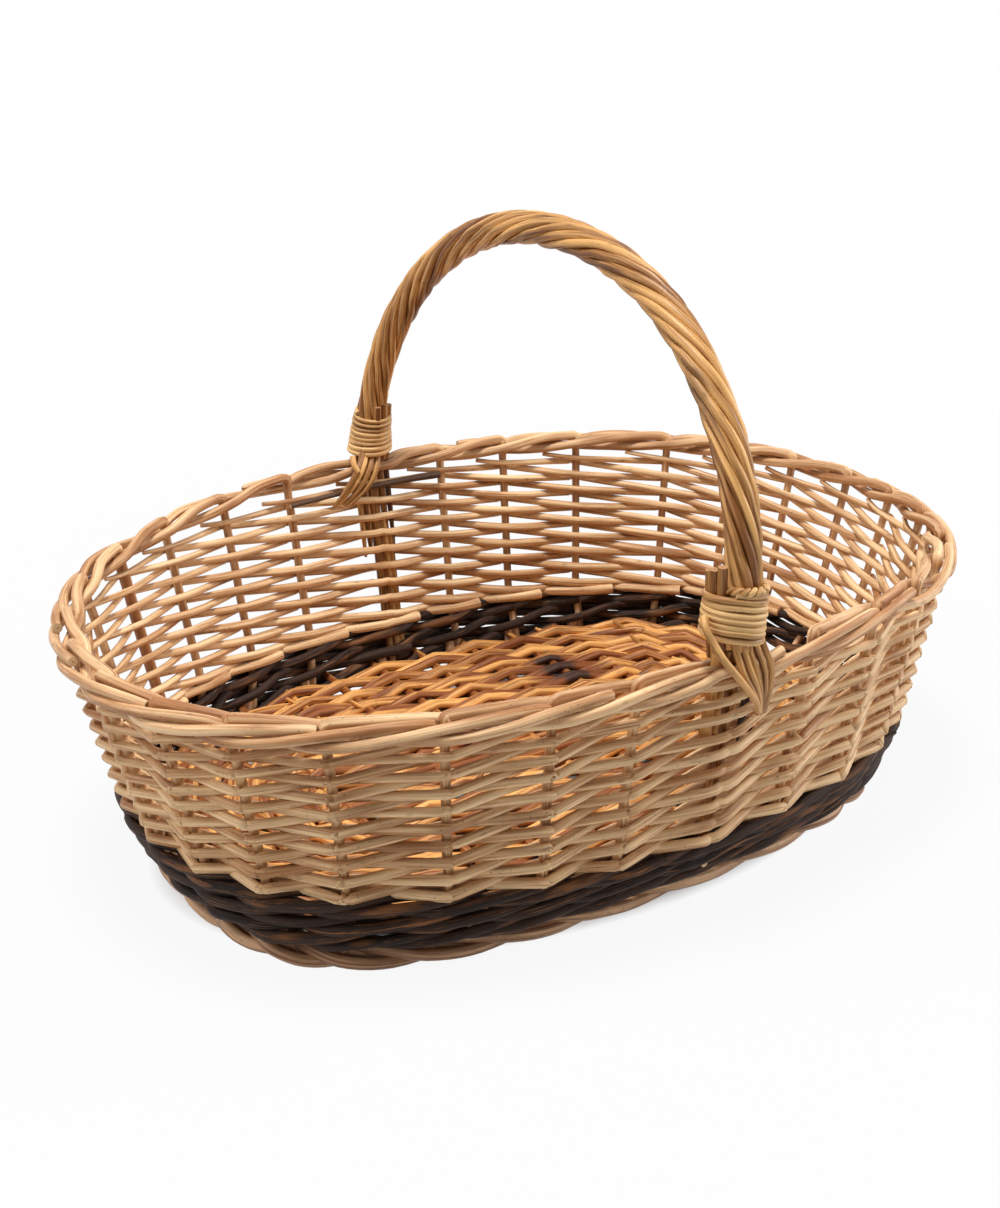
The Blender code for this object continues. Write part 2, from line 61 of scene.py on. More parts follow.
def placed(name, data):
    """A new object in the scene."""
    thing = bpy.data.objects.new(name, data)
    bpy.context.scene.collection.objects.link(thing)
    return thing


camera = placed("camera", bpy.data.cameras.new("camera"))
bpy.context.scene.camera = camera
level = math.cos(CAMERA_ELEVATION)
behind = Vector((
    math.sin(CAMERA_AZIMUTH) * level,
    -math.cos(CAMERA_AZIMUTH) * level,
    math.sin(CAMERA_ELEVATION),
))
camera.location = CAMERA_AIM + behind * CAMERA_DISTANCE
turned = (-behind).to_track_quat("-Z", "Y").to_matrix() @ Matrix.Rotation(CAMERA_ROLL, 3, "Z")
camera.rotation_euler = turned.to_euler()
camera.data.lens = FOCAL_PX / IMAGE_HEIGHT_PX * camera.data.sensor_width
camera.data.shift_x = -OFFSET_X_PX / IMAGE_HEIGHT_PX
camera.data.shift_y = -OFFSET_Y_PX / IMAGE_HEIGHT_PX
camera.data.clip_start = CAMERA_NEAREST


# Studio. A white floor that runs out of sight, a white world and three soft lamps. The camera sees plain
# white there, apart from the soft shadow round the basket and the shaded ground under its open weave.
FLOOR_SIDE = 40.0
FLOOR_DROP = 0.0002
FLOOR_PAINT = (0.60, 0.60, 0.60, 1.0)
FLOOR_GLOW_SHARE = 0.92
FLOOR_FADE = (0.30, 0.90)
UNDER_BASKET = (0.2200, 0.1435)
UNDER_FADE = (0.90, 1.02)
WHITE = (1.0, 1.0, 1.0, 1.0)
WORLD_LIGHT = 0.24
LAMPS = (
    ("top_lamp", (-0.30, -0.10, 2.30), 0.7, 47.0),
    ("right_lamp", (1.75, -0.70, 0.90), 1.1, 25.0),
    ("left_lamp", (-1.60, 0.50, 1.20), 1.1, 12.0),
)


class Value:
    """A socket of a node tree that can be used in sums."""

    def __init__(self, graph, socket):
        self.graph = graph
        self.socket = socket

    def sum(self, operation, first, second):
        values = {"Value": first, "Value_001": second}
        return self.graph.add("ShaderNodeMath", {"operation": operation}, values)

    def __add__(self, other):
        return self.sum("ADD", self, other)

    def __radd__(self, other):
        return self.sum("ADD", other, self)

    def __sub__(self, other):
        return self.sum("SUBTRACT", self, other)

    def __rsub__(self, other):
        return self.sum("SUBTRACT", other, self)

    def __mul__(self, other):
        return self.sum("MULTIPLY", self, other)

    def __rmul__(self, other):
        return self.sum("MULTIPLY", other, self)


class Graph:
    """A node tree whose nodes all come from one call."""

    def __init__(self, tree):
        self.tree = tree

    def add(self, kind, settings, values, output=0):
        """A new node: first its settings, such as an operation, then its sockets' values or links."""
        node = self.tree.nodes.new(kind)
        for name, setting in settings.items():
            setattr(node, name, setting)
        for name, value in values.items():
            sockets = [one for one in node.inputs if one.enabled and name in (one.name, one.identifier)]
            self.feed(sockets[0], value)
        found = [one for one in node.outputs if one.enabled]
        if not found:
            return node
        return Value(self, found[output] if isinstance(output, int) else node.outputs[output])

    def feed(self, socket, value):
        if isinstance(value, Value):
            self.tree.links.new(value.socket, socket)
        else:
            socket.default_value = value

    def seen_white(self):
        """1 for rays that see the studio, and 0 for light that falls on the basket."""
        rays = ("Is Camera Ray", "Is Glossy Ray", "Is Transmission Ray")
        straight, mirrored, through = [self.add("ShaderNodeLightPath", {}, {}, ray) for ray in rays]
        return straight + mirrored + through

    def clamped(self, value):
        return self.add("ShaderNodeClamp", {}, {"Value": value})

    def faded(self, value, start, end):
        """0 up to the start, 1 from the end on, and even between."""
        return self.clamped((value - start) * (1 / (end - start)))

    def scaled(self, vector, scales):
        values = {"Vector": vector, "Vector_001": scales}
        return self.add("ShaderNodeVectorMath", {"operation": "MULTIPLY"}, values)

    def length(self, vector):
        return self.add("ShaderNodeVectorMath", {"operation": "LENGTH"}, {"Vector": vector}, "Value")


half = FLOOR_SIDE / 2
floor_mesh = bpy.data.meshes.new("floor")
floor_corners = [(-half, -half), (half, -half), (half, half), (-half, half)]
floor_mesh.from_pydata([(x, y, -FLOOR_DROP) for x, y in floor_corners], [], [(0, 1, 2, 3)])
placed("floor", floor_mesh)

floor_finish = bpy.data.materials.new("floor_white")
floor_finish.use_nodes = True
floor_finish.node_tree.nodes.clear()
graph = Graph(floor_finish.node_tree)
plain = graph.add("ShaderNodeBsdfDiffuse", {}, {"Color": FLOOR_PAINT})
glow = graph.add("ShaderNodeEmission", {}, {"Strength": 1.0})
spot = graph.add("ShaderNodeTexCoord", {}, {}, "Object")
far_share = graph.faded(graph.length(spot), *FLOOR_FADE)
reach = graph.length(graph.scaled(spot, (1 / UNDER_BASKET[0], 1 / UNDER_BASKET[1], 0.0)))
open_share = graph.faded(reach, *UNDER_FADE)
glow_share = FLOOR_GLOW_SHARE + far_share * (1.0 - FLOOR_GLOW_SHARE)
glow_share = graph.seen_white() * (open_share * glow_share)
mixed = graph.add("ShaderNodeMixShader", {}, {"Fac": glow_share, "Shader": plain, "Shader_001": glow})
graph.add("ShaderNodeOutputMaterial", {}, {"Surface": mixed})
floor_mesh.materials.append(floor_finish)

world = bpy.data.worlds.new("studio")
bpy.context.scene.world = world
world.use_nodes = True
world.node_tree.nodes.clear()
graph = Graph(world.node_tree)
strength = WORLD_LIGHT + graph.seen_white() * (1.0 - WORLD_LIGHT)
light = graph.add("ShaderNodeBackground", {}, {"Color": WHITE, "Strength": strength})
graph.add("ShaderNodeOutputWorld", {}, {"Surface": light})

for name, place, width, power in LAMPS:
    lamp = placed(name, bpy.data.lights.new(name, "AREA"))
    lamp.data.shape = "DISK"
    lamp.data.size = width
    lamp.data.energy = power
    lamp.location = place
    lamp.rotation_euler = (CAMERA_AIM - lamp.location).to_track_quat("-Z", "Y").to_euler()

bpy.context.scene.view_settings.view_transform = "Standard"


# Base sticks. Stout cross sticks, slit and pushed over four long sticks that fan out at both ends.
# They are of brown willow and carry the floor. Their ends come out between the dark rods of the wall.
# The wall is given by three ovals: its rim, the top of its dark band and its foot.
RIM = (0.2550, 0.1792)
RIM_CORNER_SHARES = (-0.0114, 0.0235)
RIM_HEIGHT = 0.1416
BAND = (0.2343, 0.1625)
BAND_CORNER_SHARES = (-0.0246, 0.0159)
BAND_TOP = 0.0485
FOOT = (0.2200, 0.1435)
FOOT_CORNER_SHARES = (-0.0729, 0.0436)
FOOT_SHIFT = (-0.0050, 0.0030)
FOOT_MIDDLE = 0.0054
BASE_MIDDLE = 0.0235
EDGE_STEP_DEG = 0.25
CROSS_STICKS = 8
END_STICKS = 7
STICK_PITCH = 0.0320
STICK_RADIUS = 0.0028
STICK_TINT = 0.95
HIDDEN_STICK_PAST_WALL = 0.0040
SHOWN_STICK_PAST_WALL = 0.0090
STICK_SHOWN_CHANCE = 0.10
LONG_STICK_ROWS = (-0.0085, -0.0028, 0.0028, 0.0085)
LONG_STICK_RADIUS = 0.0023
FIRST_ROW_HALF_WIDTH = 0.0120
FIRST_ROW_END = 0.0110

# A cross stick is thinned towards its ends: share of its length, share of its radius.
CROSS_STICK_SHAPE = ((0.0, 0.75), (0.08, 0.9), (0.3, 1.0), (0.7, 1.0), (0.92, 0.9), (1.0, 0.75))

# A long stick has a point close to each side of its bends, which keeps the bends tight.
LONG_STICK_FANNED = 0.15
LONG_STICK_STRAIGHT = 0.08

# Patterns of the bark, so many to the metre across a rod and along it, and their weights in its tone.
BARK_LINES = (1500.0, 30.0)
BARK_STREAKS = (480.0, 8.0)
BARK_BLOTCHES = (160.0, 24.0)
BUD_SCARS = (130.0, 55.0)
BARK_SPECKS = (330.0, 260.0)
LINE_WEIGHT = 1.3
STREAK_WEIGHT = 2.0
BLOTCH_WEIGHT = 1.1
BARK_DEPTH = 0.16
SCAR_SIZE = 0.15
SCAR_BROWN = (66, 42, 26)
SPECK_SIZE = 0.19
SPOT_SHARPNESS = 9.0
STAINED_TINT = 2.0
STAIN_BLACK = (34, 25, 23)
CUT_FIBRES = 2500.0
PITH_RADIUS = 0.0005
PITH_SHARPNESS = 4000.0
PITH_BROWN = (130, 92, 60)

ROD_SIDES = 10
ROD_STEPS = 4
BENDS_PER_METRE = 45.0
LUMPS_PER_METRE = 90.0
BARK_CORNERS = 4
GRAIN_PER_SEED = 40.0
GRAIN_BETWEEN_RODS = 0.35


def oval(angle, halves, shares):
    """A point of an oval with these half sizes. The shares square its corners or draw them in."""
    x = halves[0] * (math.cos(angle) + shares[0] * math.cos(3 * angle))
    y = halves[1] * (math.sin(angle) + shares[1] * math.sin(3 * angle))
    return Vector((x, y))


def wall(angle, height):
    """A point of the stakes' surface: straight from the foot to the band and on to the rim."""
    band = oval(angle, BAND, BAND_CORNER_SHARES)
    if height < BAND_TOP:
        share = (height - FOOT_MIDDLE) / (BAND_TOP - FOOT_MIDDLE)
        foot = oval(angle, FOOT, FOOT_CORNER_SHARES) + Vector(FOOT_SHIFT)
        return foot.lerp(band, share).to_3d() + Vector((0.0, 0.0, height))
    share = (height - BAND_TOP) / (RIM_HEIGHT - BAND_TOP)
    rim = oval(angle, RIM, RIM_CORNER_SHARES)
    return band.lerp(rim, share).to_3d() + Vector((0.0, 0.0, height))


def along_wall(angle, height):
    """The level direction round the wall, anticlockwise."""
    step = math.radians(1.0)
    return (wall(angle + step, height) - wall(angle - step, height)).normalized()


def outward(angle, height):
    """The level direction out of the wall."""
    along = along_wall(angle, height)
    return Vector((along.y, -along.x, 0.0))


def shade(colour):
    """A colour as the eye reads it, from 0 to 255, turned into the light it sends back."""
    parts = [part / 255 for part in colour]
    return (*[part / 12.92 if part <= 0.04045 else ((part + 0.055) / 1.055) ** 2.4 for part in parts], 1.0)


def between(graph, share, first, second):
    """A colour between two others."""
    settings = {"data_type": "RGBA", "clamp_factor": True}
    return graph.add("ShaderNodeMix", settings, {"Factor": share, "A": first, "B": second})


def above(graph, value, edge, sharpness):
    """0 up to the edge and soon 1 above it."""
    return graph.clamped((value - edge) * sharpness)


def noise(graph, vector, detail, roughness=0.5, scale=1.0, output=0):
    values = {"Vector": vector, "Scale": scale, "Detail": detail, "Roughness": roughness}
    return graph.add("ShaderNodeTexNoise", {}, values, output)


def stretched(graph, grain, across, along):
    """The rod's own coordinates, scaled across it and along it."""
    return graph.scaled(grain, (across, across, along))


def spots(graph, grain, pattern, size):
    """Scattered spots of this size on the bark."""
    values = {"Vector": stretched(graph, grain, *pattern), "Scale": 1.0}
    return graph.clamped((size - graph.add("ShaderNodeTexVoronoi", {}, values)) * SPOT_SHARPNESS)


def new_finish(name):
    """A new material, its nodes, its shader and the rod's own coordinates."""
    material = bpy.data.materials.new(name)
    material.use_nodes = True
    graph = Graph(material.node_tree)
    grain = graph.add("ShaderNodeAttribute", {"attribute_name": "grain"}, {}, "Vector")
    return material, graph, material.node_tree.nodes["Principled BSDF"], grain


def willow(name, pale, deep, stain, tint_share=0.6, contrast=1.0, specks=0.5, roughness=0.48, worn=0.44,
           relief=0.0004, gloss=0.35):
    """Willow: long grain and fine cracks, a tint for each rod, blotches, bud scars and small specks."""
    material, graph, shader, grain = new_finish(name)
    tint = graph.add("ShaderNodeAttribute", {"attribute_name": "tint"}, {}, "Fac")
    lines = noise(graph, stretched(graph, grain, *BARK_LINES), 3.0, 0.6)
    streaks = noise(graph, stretched(graph, grain, *BARK_STREAKS), 2.0)
    blotches = noise(graph, stretched(graph, grain, *BARK_BLOTCHES), 3.0)
    scars = spots(graph, grain, BUD_SCARS, SCAR_SIZE)
    speckle = spots(graph, grain, BARK_SPECKS, SPECK_SIZE) * above(graph, blotches, 0.42, 8.0)
    pattern = (blotches - 0.5) * BLOTCH_WEIGHT + (streaks - 0.5) * STREAK_WEIGHT
    depth = tint * tint_share + (pattern + (lines - 0.5) * LINE_WEIGHT) * contrast + BARK_DEPTH
    colour = between(graph, graph.clamped(depth), shade(pale), shade(deep))
    colour = between(graph, above(graph, blotches, 1.0 - worn, 5.0) * 0.6, colour, shade(stain))
    colour = between(graph, above(graph, lines, 0.60, 8.0) * 0.55 * contrast, colour, shade(stain))
    colour = between(graph, graph.clamped(scars * 0.4 + speckle * specks), colour, shade(SCAR_BROWN))
    colour = between(graph, above(graph, tint, 1.5, 3.0) * 0.85, colour, shade(STAIN_BLACK))
    graph.feed(shader.inputs["Base Color"], colour)
    graph.feed(shader.inputs["Roughness"], roughness + (lines - 0.5) * 0.25)
    height = lines * 0.8 + streaks * 0.6 + blotches * 0.3 - scars * 0.5
    bump = graph.add("ShaderNodeBump", {}, {"Height": height, "Strength": 0.6, "Distance": relief})
    graph.feed(shader.inputs["Normal"], bump)
    graph.feed(shader.inputs["Specular IOR Level"], gloss)
    return material


def cut_wood(name, pale, deep):
    """The squarely cut end of a rod: pale wood round a small dark pith."""
    material, graph, shader, grain = new_finish(name)
    reach = graph.length(stretched(graph, grain, 1.0, 0.0))
    pith = graph.clamped((PITH_RADIUS - reach) * PITH_SHARPNESS)
    fibres = noise(graph, stretched(graph, grain, CUT_FIBRES, 0.0), 2.0)
    colour = between(graph, fibres, shade(pale), shade(deep))
    graph.feed(shader.inputs["Base Color"], between(graph, pith, colour, shade(PITH_BROWN)))
    graph.feed(shader.inputs["Roughness"], 0.6 + fibres * 0.2)
    return material


def rod_tree():
    """Turns lines of points into round rods with slight bends and swellings, and with closed cut ends."""
    tree = bpy.data.node_groups.new("willow_rods", "GeometryNodeTree")
    sockets = (
        ("Lines", "NodeSocketGeometry"), ("Sides", "NodeSocketInt"), ("Steps", "NodeSocketInt"),
        ("Bend", "NodeSocketFloat"), ("Swelling", "NodeSocketFloat"), ("Bark", "NodeSocketMaterial"),
        ("Cut end", "NodeSocketMaterial"),
    )
    for name, kind in sockets:
        tree.interface.new_socket(name, in_out="INPUT", socket_type=kind)
    tree.interface.new_socket("Rods", in_out="OUTPUT", socket_type="NodeSocketGeometry")
    graph = Graph(tree)
    inputs = {name: graph.add("NodeGroupInput", {}, {}, name) for name, _ in sockets}

    def vectors(operation, first, second):
        other = "Scale" if operation == "SCALE" else "Vector_001"
        return graph.add("ShaderNodeVectorMath", {"operation": operation}, {"Vector": first, other: second})

    def named(attribute, kind="FLOAT"):
        return graph.add("GeometryNodeInputNamedAttribute", {"data_type": kind}, {"Name": attribute})

    def stored(geometry, attribute, value, kind="FLOAT"):
        settings = {"data_type": kind, "domain": "POINT"}
        values = {"Geometry": geometry, "Name": attribute, "Value": value}
        return graph.add("GeometryNodeStoreNamedAttribute", settings, values)

    curves = graph.add("GeometryNodeMeshToCurve", {}, {"Mesh": inputs["Lines"]})
    curves = graph.add("GeometryNodeCurveSplineType", {"spline_type": "CATMULL_ROM"}, {"Curve": curves})
    steps = {"Geometry": curves, "Resolution": inputs["Steps"]}
    curves = graph.add("GeometryNodeSetSplineResolution", {}, steps)
    curves = graph.add("GeometryNodeResampleCurve", {"mode": "EVALUATED"}, {"Curve": curves})
    spot = graph.add("ShaderNodeCombineXYZ", {}, {"Z": named("along")})
    sway = noise(graph, spot, 1.0, scale=BENDS_PER_METRE, output="Color")
    sway = vectors("SCALE", vectors("SUBTRACT", sway, (0.5, 0.5, 0.5)), inputs["Bend"])
    curves = graph.add("GeometryNodeSetPosition", {}, {"Geometry": curves, "Offset": sway})
    lumps = noise(graph, spot, 2.0, scale=LUMPS_PER_METRE)
    curves = stored(curves, "thickness", named("radius") * (1.0 + (lumps - 0.5) * inputs["Swelling"]))
    ring = graph.add("GeometryNodeCurvePrimitiveCircle", {}, {"Resolution": inputs["Sides"], "Radius": 1.0})
    ring = stored(ring, "ring", graph.add("GeometryNodeInputPosition", {}, {}), "FLOAT_VECTOR")
    shape = {"Curve": curves, "Profile Curve": ring, "Scale": named("thickness"), "Fill Caps": True}
    rods = graph.add("GeometryNodeCurveToMesh", {}, shape)
    round_place = vectors("SCALE", named("ring", "FLOAT_VECTOR"), named("thickness"))
    rods = stored(rods, "grain", vectors("ADD", round_place, spot), "FLOAT_VECTOR")
    corners = graph.add("GeometryNodeInputMeshFaceNeighbors", {}, {})
    more = {"data_type": "INT", "operation": "GREATER_THAN"}
    is_end = graph.add("FunctionNodeCompare", more, {"A": corners, "B": BARK_CORNERS})
    is_bark = graph.add("FunctionNodeBooleanMath", {"operation": "NOT"}, {"Boolean": is_end})
    rods = graph.add("GeometryNodeSetShadeSmooth", {}, {"Geometry": rods, "Shade Smooth": is_bark})
    rods = graph.add("GeometryNodeRealizeInstances", {}, {"Geometry": rods})
    rods = graph.add("GeometryNodeSetMaterial", {}, {"Geometry": rods, "Material": inputs["Bark"]})
    cut_ends = {"Geometry": rods, "Selection": is_end, "Material": inputs["Cut end"]}
    graph.add("NodeGroupOutput", {}, {"Rods": graph.add("GeometryNodeSetMaterial", {}, cut_ends)})
    return tree


class Rods:
    """The rods of one piece, collected as lines of points before they get their thickness."""

    def __init__(self, seed):
        self.chance = random.Random(seed)
        self.points = []
        self.edges = []
        self.radius = []
        self.along = []
        self.tint = []
        self.start = seed * GRAIN_PER_SEED

    def lay(self, points, radii, tint=None):
        """One rod along these points. Radii are at its butt and its tip, or at each point.
        Its tint is one number, or one for each point, or else left to chance."""
        first = len(self.points)
        lengths = [0.0]
        for start, end in zip(points, points[1:]):
            lengths.append(lengths[-1] + (end - start).length)
        if len(radii) == 2:
            radii = [radii[0] + (radii[1] - radii[0]) * length / lengths[-1] for length in lengths]
        if tint is None:
            tint = self.chance.random()
        self.points += [tuple(point) for point in points]
        self.radius += radii
        self.along += [self.start + length for length in lengths]
        self.tint += tint if isinstance(tint, list) else [tint] * len(points)
        self.edges += [(spot, spot + 1) for spot in range(first, len(self.points) - 1)]
        self.start += lengths[-1] + GRAIN_BETWEEN_RODS

    def make(self, name, bark, cut, sides=ROD_SIDES, steps=ROD_STEPS, bend=0.0012, swelling=0.16):
        """The finished mesh of all these rods, riding on the basket."""
        lines = bpy.data.meshes.new(name + "_lines")
        lines.from_pydata(self.points, self.edges, [])
        for attribute, values in (("radius", self.radius), ("along", self.along), ("tint", self.tint)):
            lines.attributes.new(attribute, "FLOAT", "POINT").data.foreach_set("value", values)
        guide = placed(name + "_lines", lines)
        modifier = guide.modifiers.new("rods", "NODES")
        modifier.node_group = ROD_TREE
        inputs = {"Sides": sides, "Steps": steps, "Bend": bend, "Swelling": swelling}
        inputs.update({"Bark": bark, "Cut end": cut})
        for item in ROD_TREE.interface.items_tree:
            if item.name in inputs:
                modifier[item.identifier] = inputs[item.name]
        evaluated = guide.evaluated_get(bpy.context.evaluated_depsgraph_get())
        mesh = bpy.data.meshes.new_from_object(evaluated)
        bpy.data.objects.remove(guide, do_unlink=True)
        mesh.name = name
        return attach(placed(name, mesh), "root")


def nodes_called(*starts):
    """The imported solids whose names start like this."""
    return [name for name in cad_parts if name.startswith(starts)]


def edge_angle(x, side):
    """Where round the wall a cross stick at this x comes out, at the back or the front."""
    angles = [math.radians(step * EDGE_STEP_DEG) for step in range(round(180 / EDGE_STEP_DEG))]
    return min(angles, key=lambda angle: abs(wall(side * angle, BASE_MIDDLE).x - x)) * side


def base_spokes():
    """Each stick's inner end and its outer end's angle in the wall, anticlockwise from the front left."""
    spokes = []
    for way in (1, -1):
        lefts = [(number - (CROSS_STICKS - 1) / 2) * STICK_PITCH * way for number in range(CROSS_STICKS)]
        xs = [left + FOOT_SHIFT[0] for left in lefts]
        for x in xs:
            spokes.append((Vector((x, -way * FIRST_ROW_HALF_WIDTH, BASE_MIDDLE)), edge_angle(x, -way)))
        start, end = edge_angle(xs[-1], -way), edge_angle(xs[-1], way)
        if end < start:
            end += 2 * math.pi
        for number in range(END_STICKS):
            share = (number + 1) / (END_STICKS + 1)
            turn = math.pi * (share - 0.5)
            x = xs[-1] + way * FIRST_ROW_END * math.cos(turn)
            inner = Vector((x, way * FIRST_ROW_HALF_WIDTH * math.sin(turn), BASE_MIDDLE))
            spokes.append((inner, start + (end - start) * share))
    return spokes


def stick_end(angle, chance):
    """Most ends stay behind the outer dark rods, and a few come out between them."""
    is_shown = chance.random() < STICK_SHOWN_CHANCE
    past = SHOWN_STICK_PAST_WALL if is_shown else HIDDEN_STICK_PAST_WALL
    return wall(angle, BASE_MIDDLE) + past * outward(angle, BASE_MIDDLE)


ROD_TREE = rod_tree()
CUT_PALE = cut_wood("cut_pale", (232, 206, 166), (206, 170, 124))
CUT_BROWN = cut_wood("cut_brown", (196, 150, 104), (150, 104, 66))
BASE_WILLOW = willow(
    "base_willow", (246, 182, 104), (138, 76, 34), (74, 40, 18),
    tint_share=0.9, contrast=1.3,
)

SPOKES = base_spokes()
half_round = CROSS_STICKS + END_STICKS
sticks = Rods(1)
for number in range(CROSS_STICKS):
    front = stick_end(SPOKES[number][1], sticks.chance)
    back = stick_end(SPOKES[half_round + CROSS_STICKS - 1 - number][1], sticks.chance)
    line = [front.lerp(back, share) for share, _ in CROSS_STICK_SHAPE]
    sticks.lay(line, [STICK_RADIUS * share for _, share in CROSS_STICK_SHAPE], STICK_TINT)
for number in range(END_STICKS):
    right_inner, right_angle = SPOKES[CROSS_STICKS + number]
    left_inner, left_angle = SPOKES[len(SPOKES) - 1 - number]
    if number % 2 == 0:
        row = LONG_STICK_ROWS[number // 2]
        right, left = [Vector((inner.x, row, BASE_MIDDLE)) for inner in (right_inner, left_inner)]
        left_end = stick_end(left_angle, sticks.chance)
        right_end = stick_end(right_angle, sticks.chance)
        line = [left_end, left.lerp(left_end, LONG_STICK_FANNED), left]
        line += [left.lerp(right, share) for share in (LONG_STICK_STRAIGHT, 0.5, 1 - LONG_STICK_STRAIGHT)]
        line += [right, right.lerp(right_end, LONG_STICK_FANNED), right_end]
        sticks.lay(line, (LONG_STICK_RADIUS, LONG_STICK_RADIUS), STICK_TINT)
    else:
        for inner, angle in ((right_inner, right_angle), (left_inner, left_angle)):
            middle = inner.lerp(stick_end(angle, sticks.chance), 0.5)
            line = [inner, middle, stick_end(angle, sticks.chance)]
            sticks.lay(line, (LONG_STICK_RADIUS, LONG_STICK_RADIUS), STICK_TINT)
base_sticks = sticks.make("base_sticks", BASE_WILLOW, CUT_PALE)
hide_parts(*nodes_called("cross_stick", "long_stick"))


# Floor of the basket. Brown rods go round the sticks in two pairs, over one stick and under the next.
# Each rod runs out after some twenty sticks, where another is set in. A third end in a raised split tip.
BASE_ROWS = 32
BUNDLE_RODS = 2
BASE_ROD_RADII = (0.0028, 0.0022)
BASE_ROD_VARIETY = (0.85, 1.15)
BASE_ROD_FULLNESS = 1.50
BASE_TINTS = (-0.1, 1.1)
BASE_EDGE_INSET = 0.0082
BASE_HUMP = 0.0030
BASE_HUMP_VARIETY = (0.70, 1.15)
BASE_KNEE = 0.12
BASE_KNEE_PLAY = 0.10
BASE_ROW_PLAY = 0.28
BASE_ROD_CROSSINGS = (15, 26)
BASE_TIP_CHANCE = 0.33
BASE_TIP_LIFT = 0.0065
BASE_TIP_SHARE = 0.40
BASE_TIP_TINT = -0.3
STAINED_SPOT = Vector((0.0760, 0.0740, BASE_MIDDLE))
STAINED_REACH = 0.0170


def on_floor(step, row):
    """Where a rod that has come this many sticks round lies, and how thick it can be there."""
    lower = math.floor(step)
    ends = []
    for number in (lower, lower + 1):
        inner, angle = SPOKES[number % len(SPOKES)]
        outer = wall(angle, BASE_MIDDLE) - BASE_EDGE_INSET * outward(angle, BASE_MIDDLE)
        ends.append((inner.lerp(outer, row / BASE_ROWS), (outer - inner).length / BASE_ROWS / 2))
    share = step - lower
    return ends[0][0].lerp(ends[1][0], share), ends[0][1] * BASE_ROD_FULLNESS


floor_rods = Rods(2)
rounds = BASE_ROWS // (2 * BUNDLE_RODS)
thick, thin = BASE_ROD_RADII
for strand in (0, 1):
    for rod_number in range(BUNDLE_RODS):
        step = 0
        last = rounds * len(SPOKES)
        while step < last - 2:
            end = min(step + floor_rods.chance.randint(*BASE_ROD_CROSSINGS), last)
            rod = []
            limits = []
            for crossed in range(step, end + 1):
                hump = BASE_HUMP if crossed % 2 else -BASE_HUMP
                rise = hump * floor_rods.chance.uniform(*BASE_HUMP_VARIETY)
                middle = crossed + floor_rods.chance.uniform(-BASE_KNEE_PLAY, BASE_KNEE_PLAY)
                play = floor_rods.chance.uniform(-BASE_ROW_PLAY, BASE_ROW_PLAY)
                for spot in (middle - BASE_KNEE, middle + BASE_KNEE):
                    row = spot / len(SPOKES) * 2 * BUNDLE_RODS + rod_number + play
                    row = min(max(row, 0.0), BASE_ROWS)
                    point, limit = on_floor(spot + strand * len(SPOKES) // 2, row)
                    rod.append(point + Vector((0.0, 0.0, rise)))
                    limits.append(limit)
            is_split = floor_rods.chance.random() < BASE_TIP_CHANCE
            rod.append(rod[-1] + (rod[-1] - rod[-2]) + Vector((0.0, 0.0, BASE_TIP_LIFT * is_split)))
            limits.append(thin * BASE_TIP_SHARE if is_split else limits[-1])
            shares = [number / (len(rod) - 1) for number in range(len(rod))]
            size = floor_rods.chance.uniform(*BASE_ROD_VARIETY)
            radii = [size * (thick * (1 - share) + thin * share) for share in shares]
            radii = [min(radius, limit) for radius, limit in zip(radii, limits)]
            tint = floor_rods.chance.uniform(*BASE_TINTS)
            stained = [(point - STAINED_SPOT).length < STAINED_REACH for point in rod]
            tints = [STAINED_TINT if is_stained else tint for is_stained in stained]
            if is_split:
                tints[-1] = BASE_TIP_TINT
            floor_rods.lay(rod, radii, tints)
            step = end
base_weave = floor_rods.make(
    "base_weave", BASE_WILLOW, CUT_BROWN, sides=9, steps=5, bend=0.0016, swelling=0.35
)
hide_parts(*nodes_called("base_weaver"))


# Stakes and rolled border. Each stake stands in the wall, is bent over at the rim and laid down there:
# behind the next stake, under the one after it to the outside, past two more and up onto the border.
# One stake near the left end is broader and browner than the rest.
PLACES = 30
FIRST_PLACE_ANGLE = math.radians(5.0)
LEG_PLACES = (7, 22)
LEG_HOLD = 0.24
SIDE_LEG_HOLD = 0.17
SHIFT_SHARES = (
    -0.04, 0.03, 0.08, 0.12, 0.45, 0.45, 0.27, 0.163, 0.25, 0.15,
    0.08, 0.00, 0.00, 0.00, 0.00, 0.05, 0.12, 0.15, 0.22, 0.38,
    0.38, 0.18, 0.157, 0.12, 0.10, 0.03, 0.00, 0.00, 0.00, -0.02,
)
RIM_SADDLE = 0.0041
STAKE_RADIUS = 0.0025
# Stake tints at the back and at the front. The stakes' own willow is browner than the rods'. The front ones
# are painted paler against the shade on the wall's outside: painted light.
STAKE_TINTS_FRONT_PAINTED_PALER = (0.62, 0.25)
STAKE_HEIGHTS = (0.0125, 0.0300, 0.0485, 0.0750, 0.1000, 0.1240)
STAKE_TOP_DROP = 0.9
BROAD_STAKE = 11
BROAD_STAKE_TINT = 1.30
BROAD_STAKE_SHARE = 1.30
BORDER_RADII = (0.0030, 0.0025)
BORDER_STEP = 0.0059
SHOWN_BORDER_ENDS = (3.35, 3.72)
HIDDEN_BORDER_ENDS = (3.90, 4.04)
BORDER_END_SHOWN_CHANCE = 0.35
BORDER_END_GAP = 0.06
BORDER_PLAY = 0.05
BORDER_TINTS = (0.25, 0.85)
BORDER_TINT_PLAY = (-0.08, 0.08)

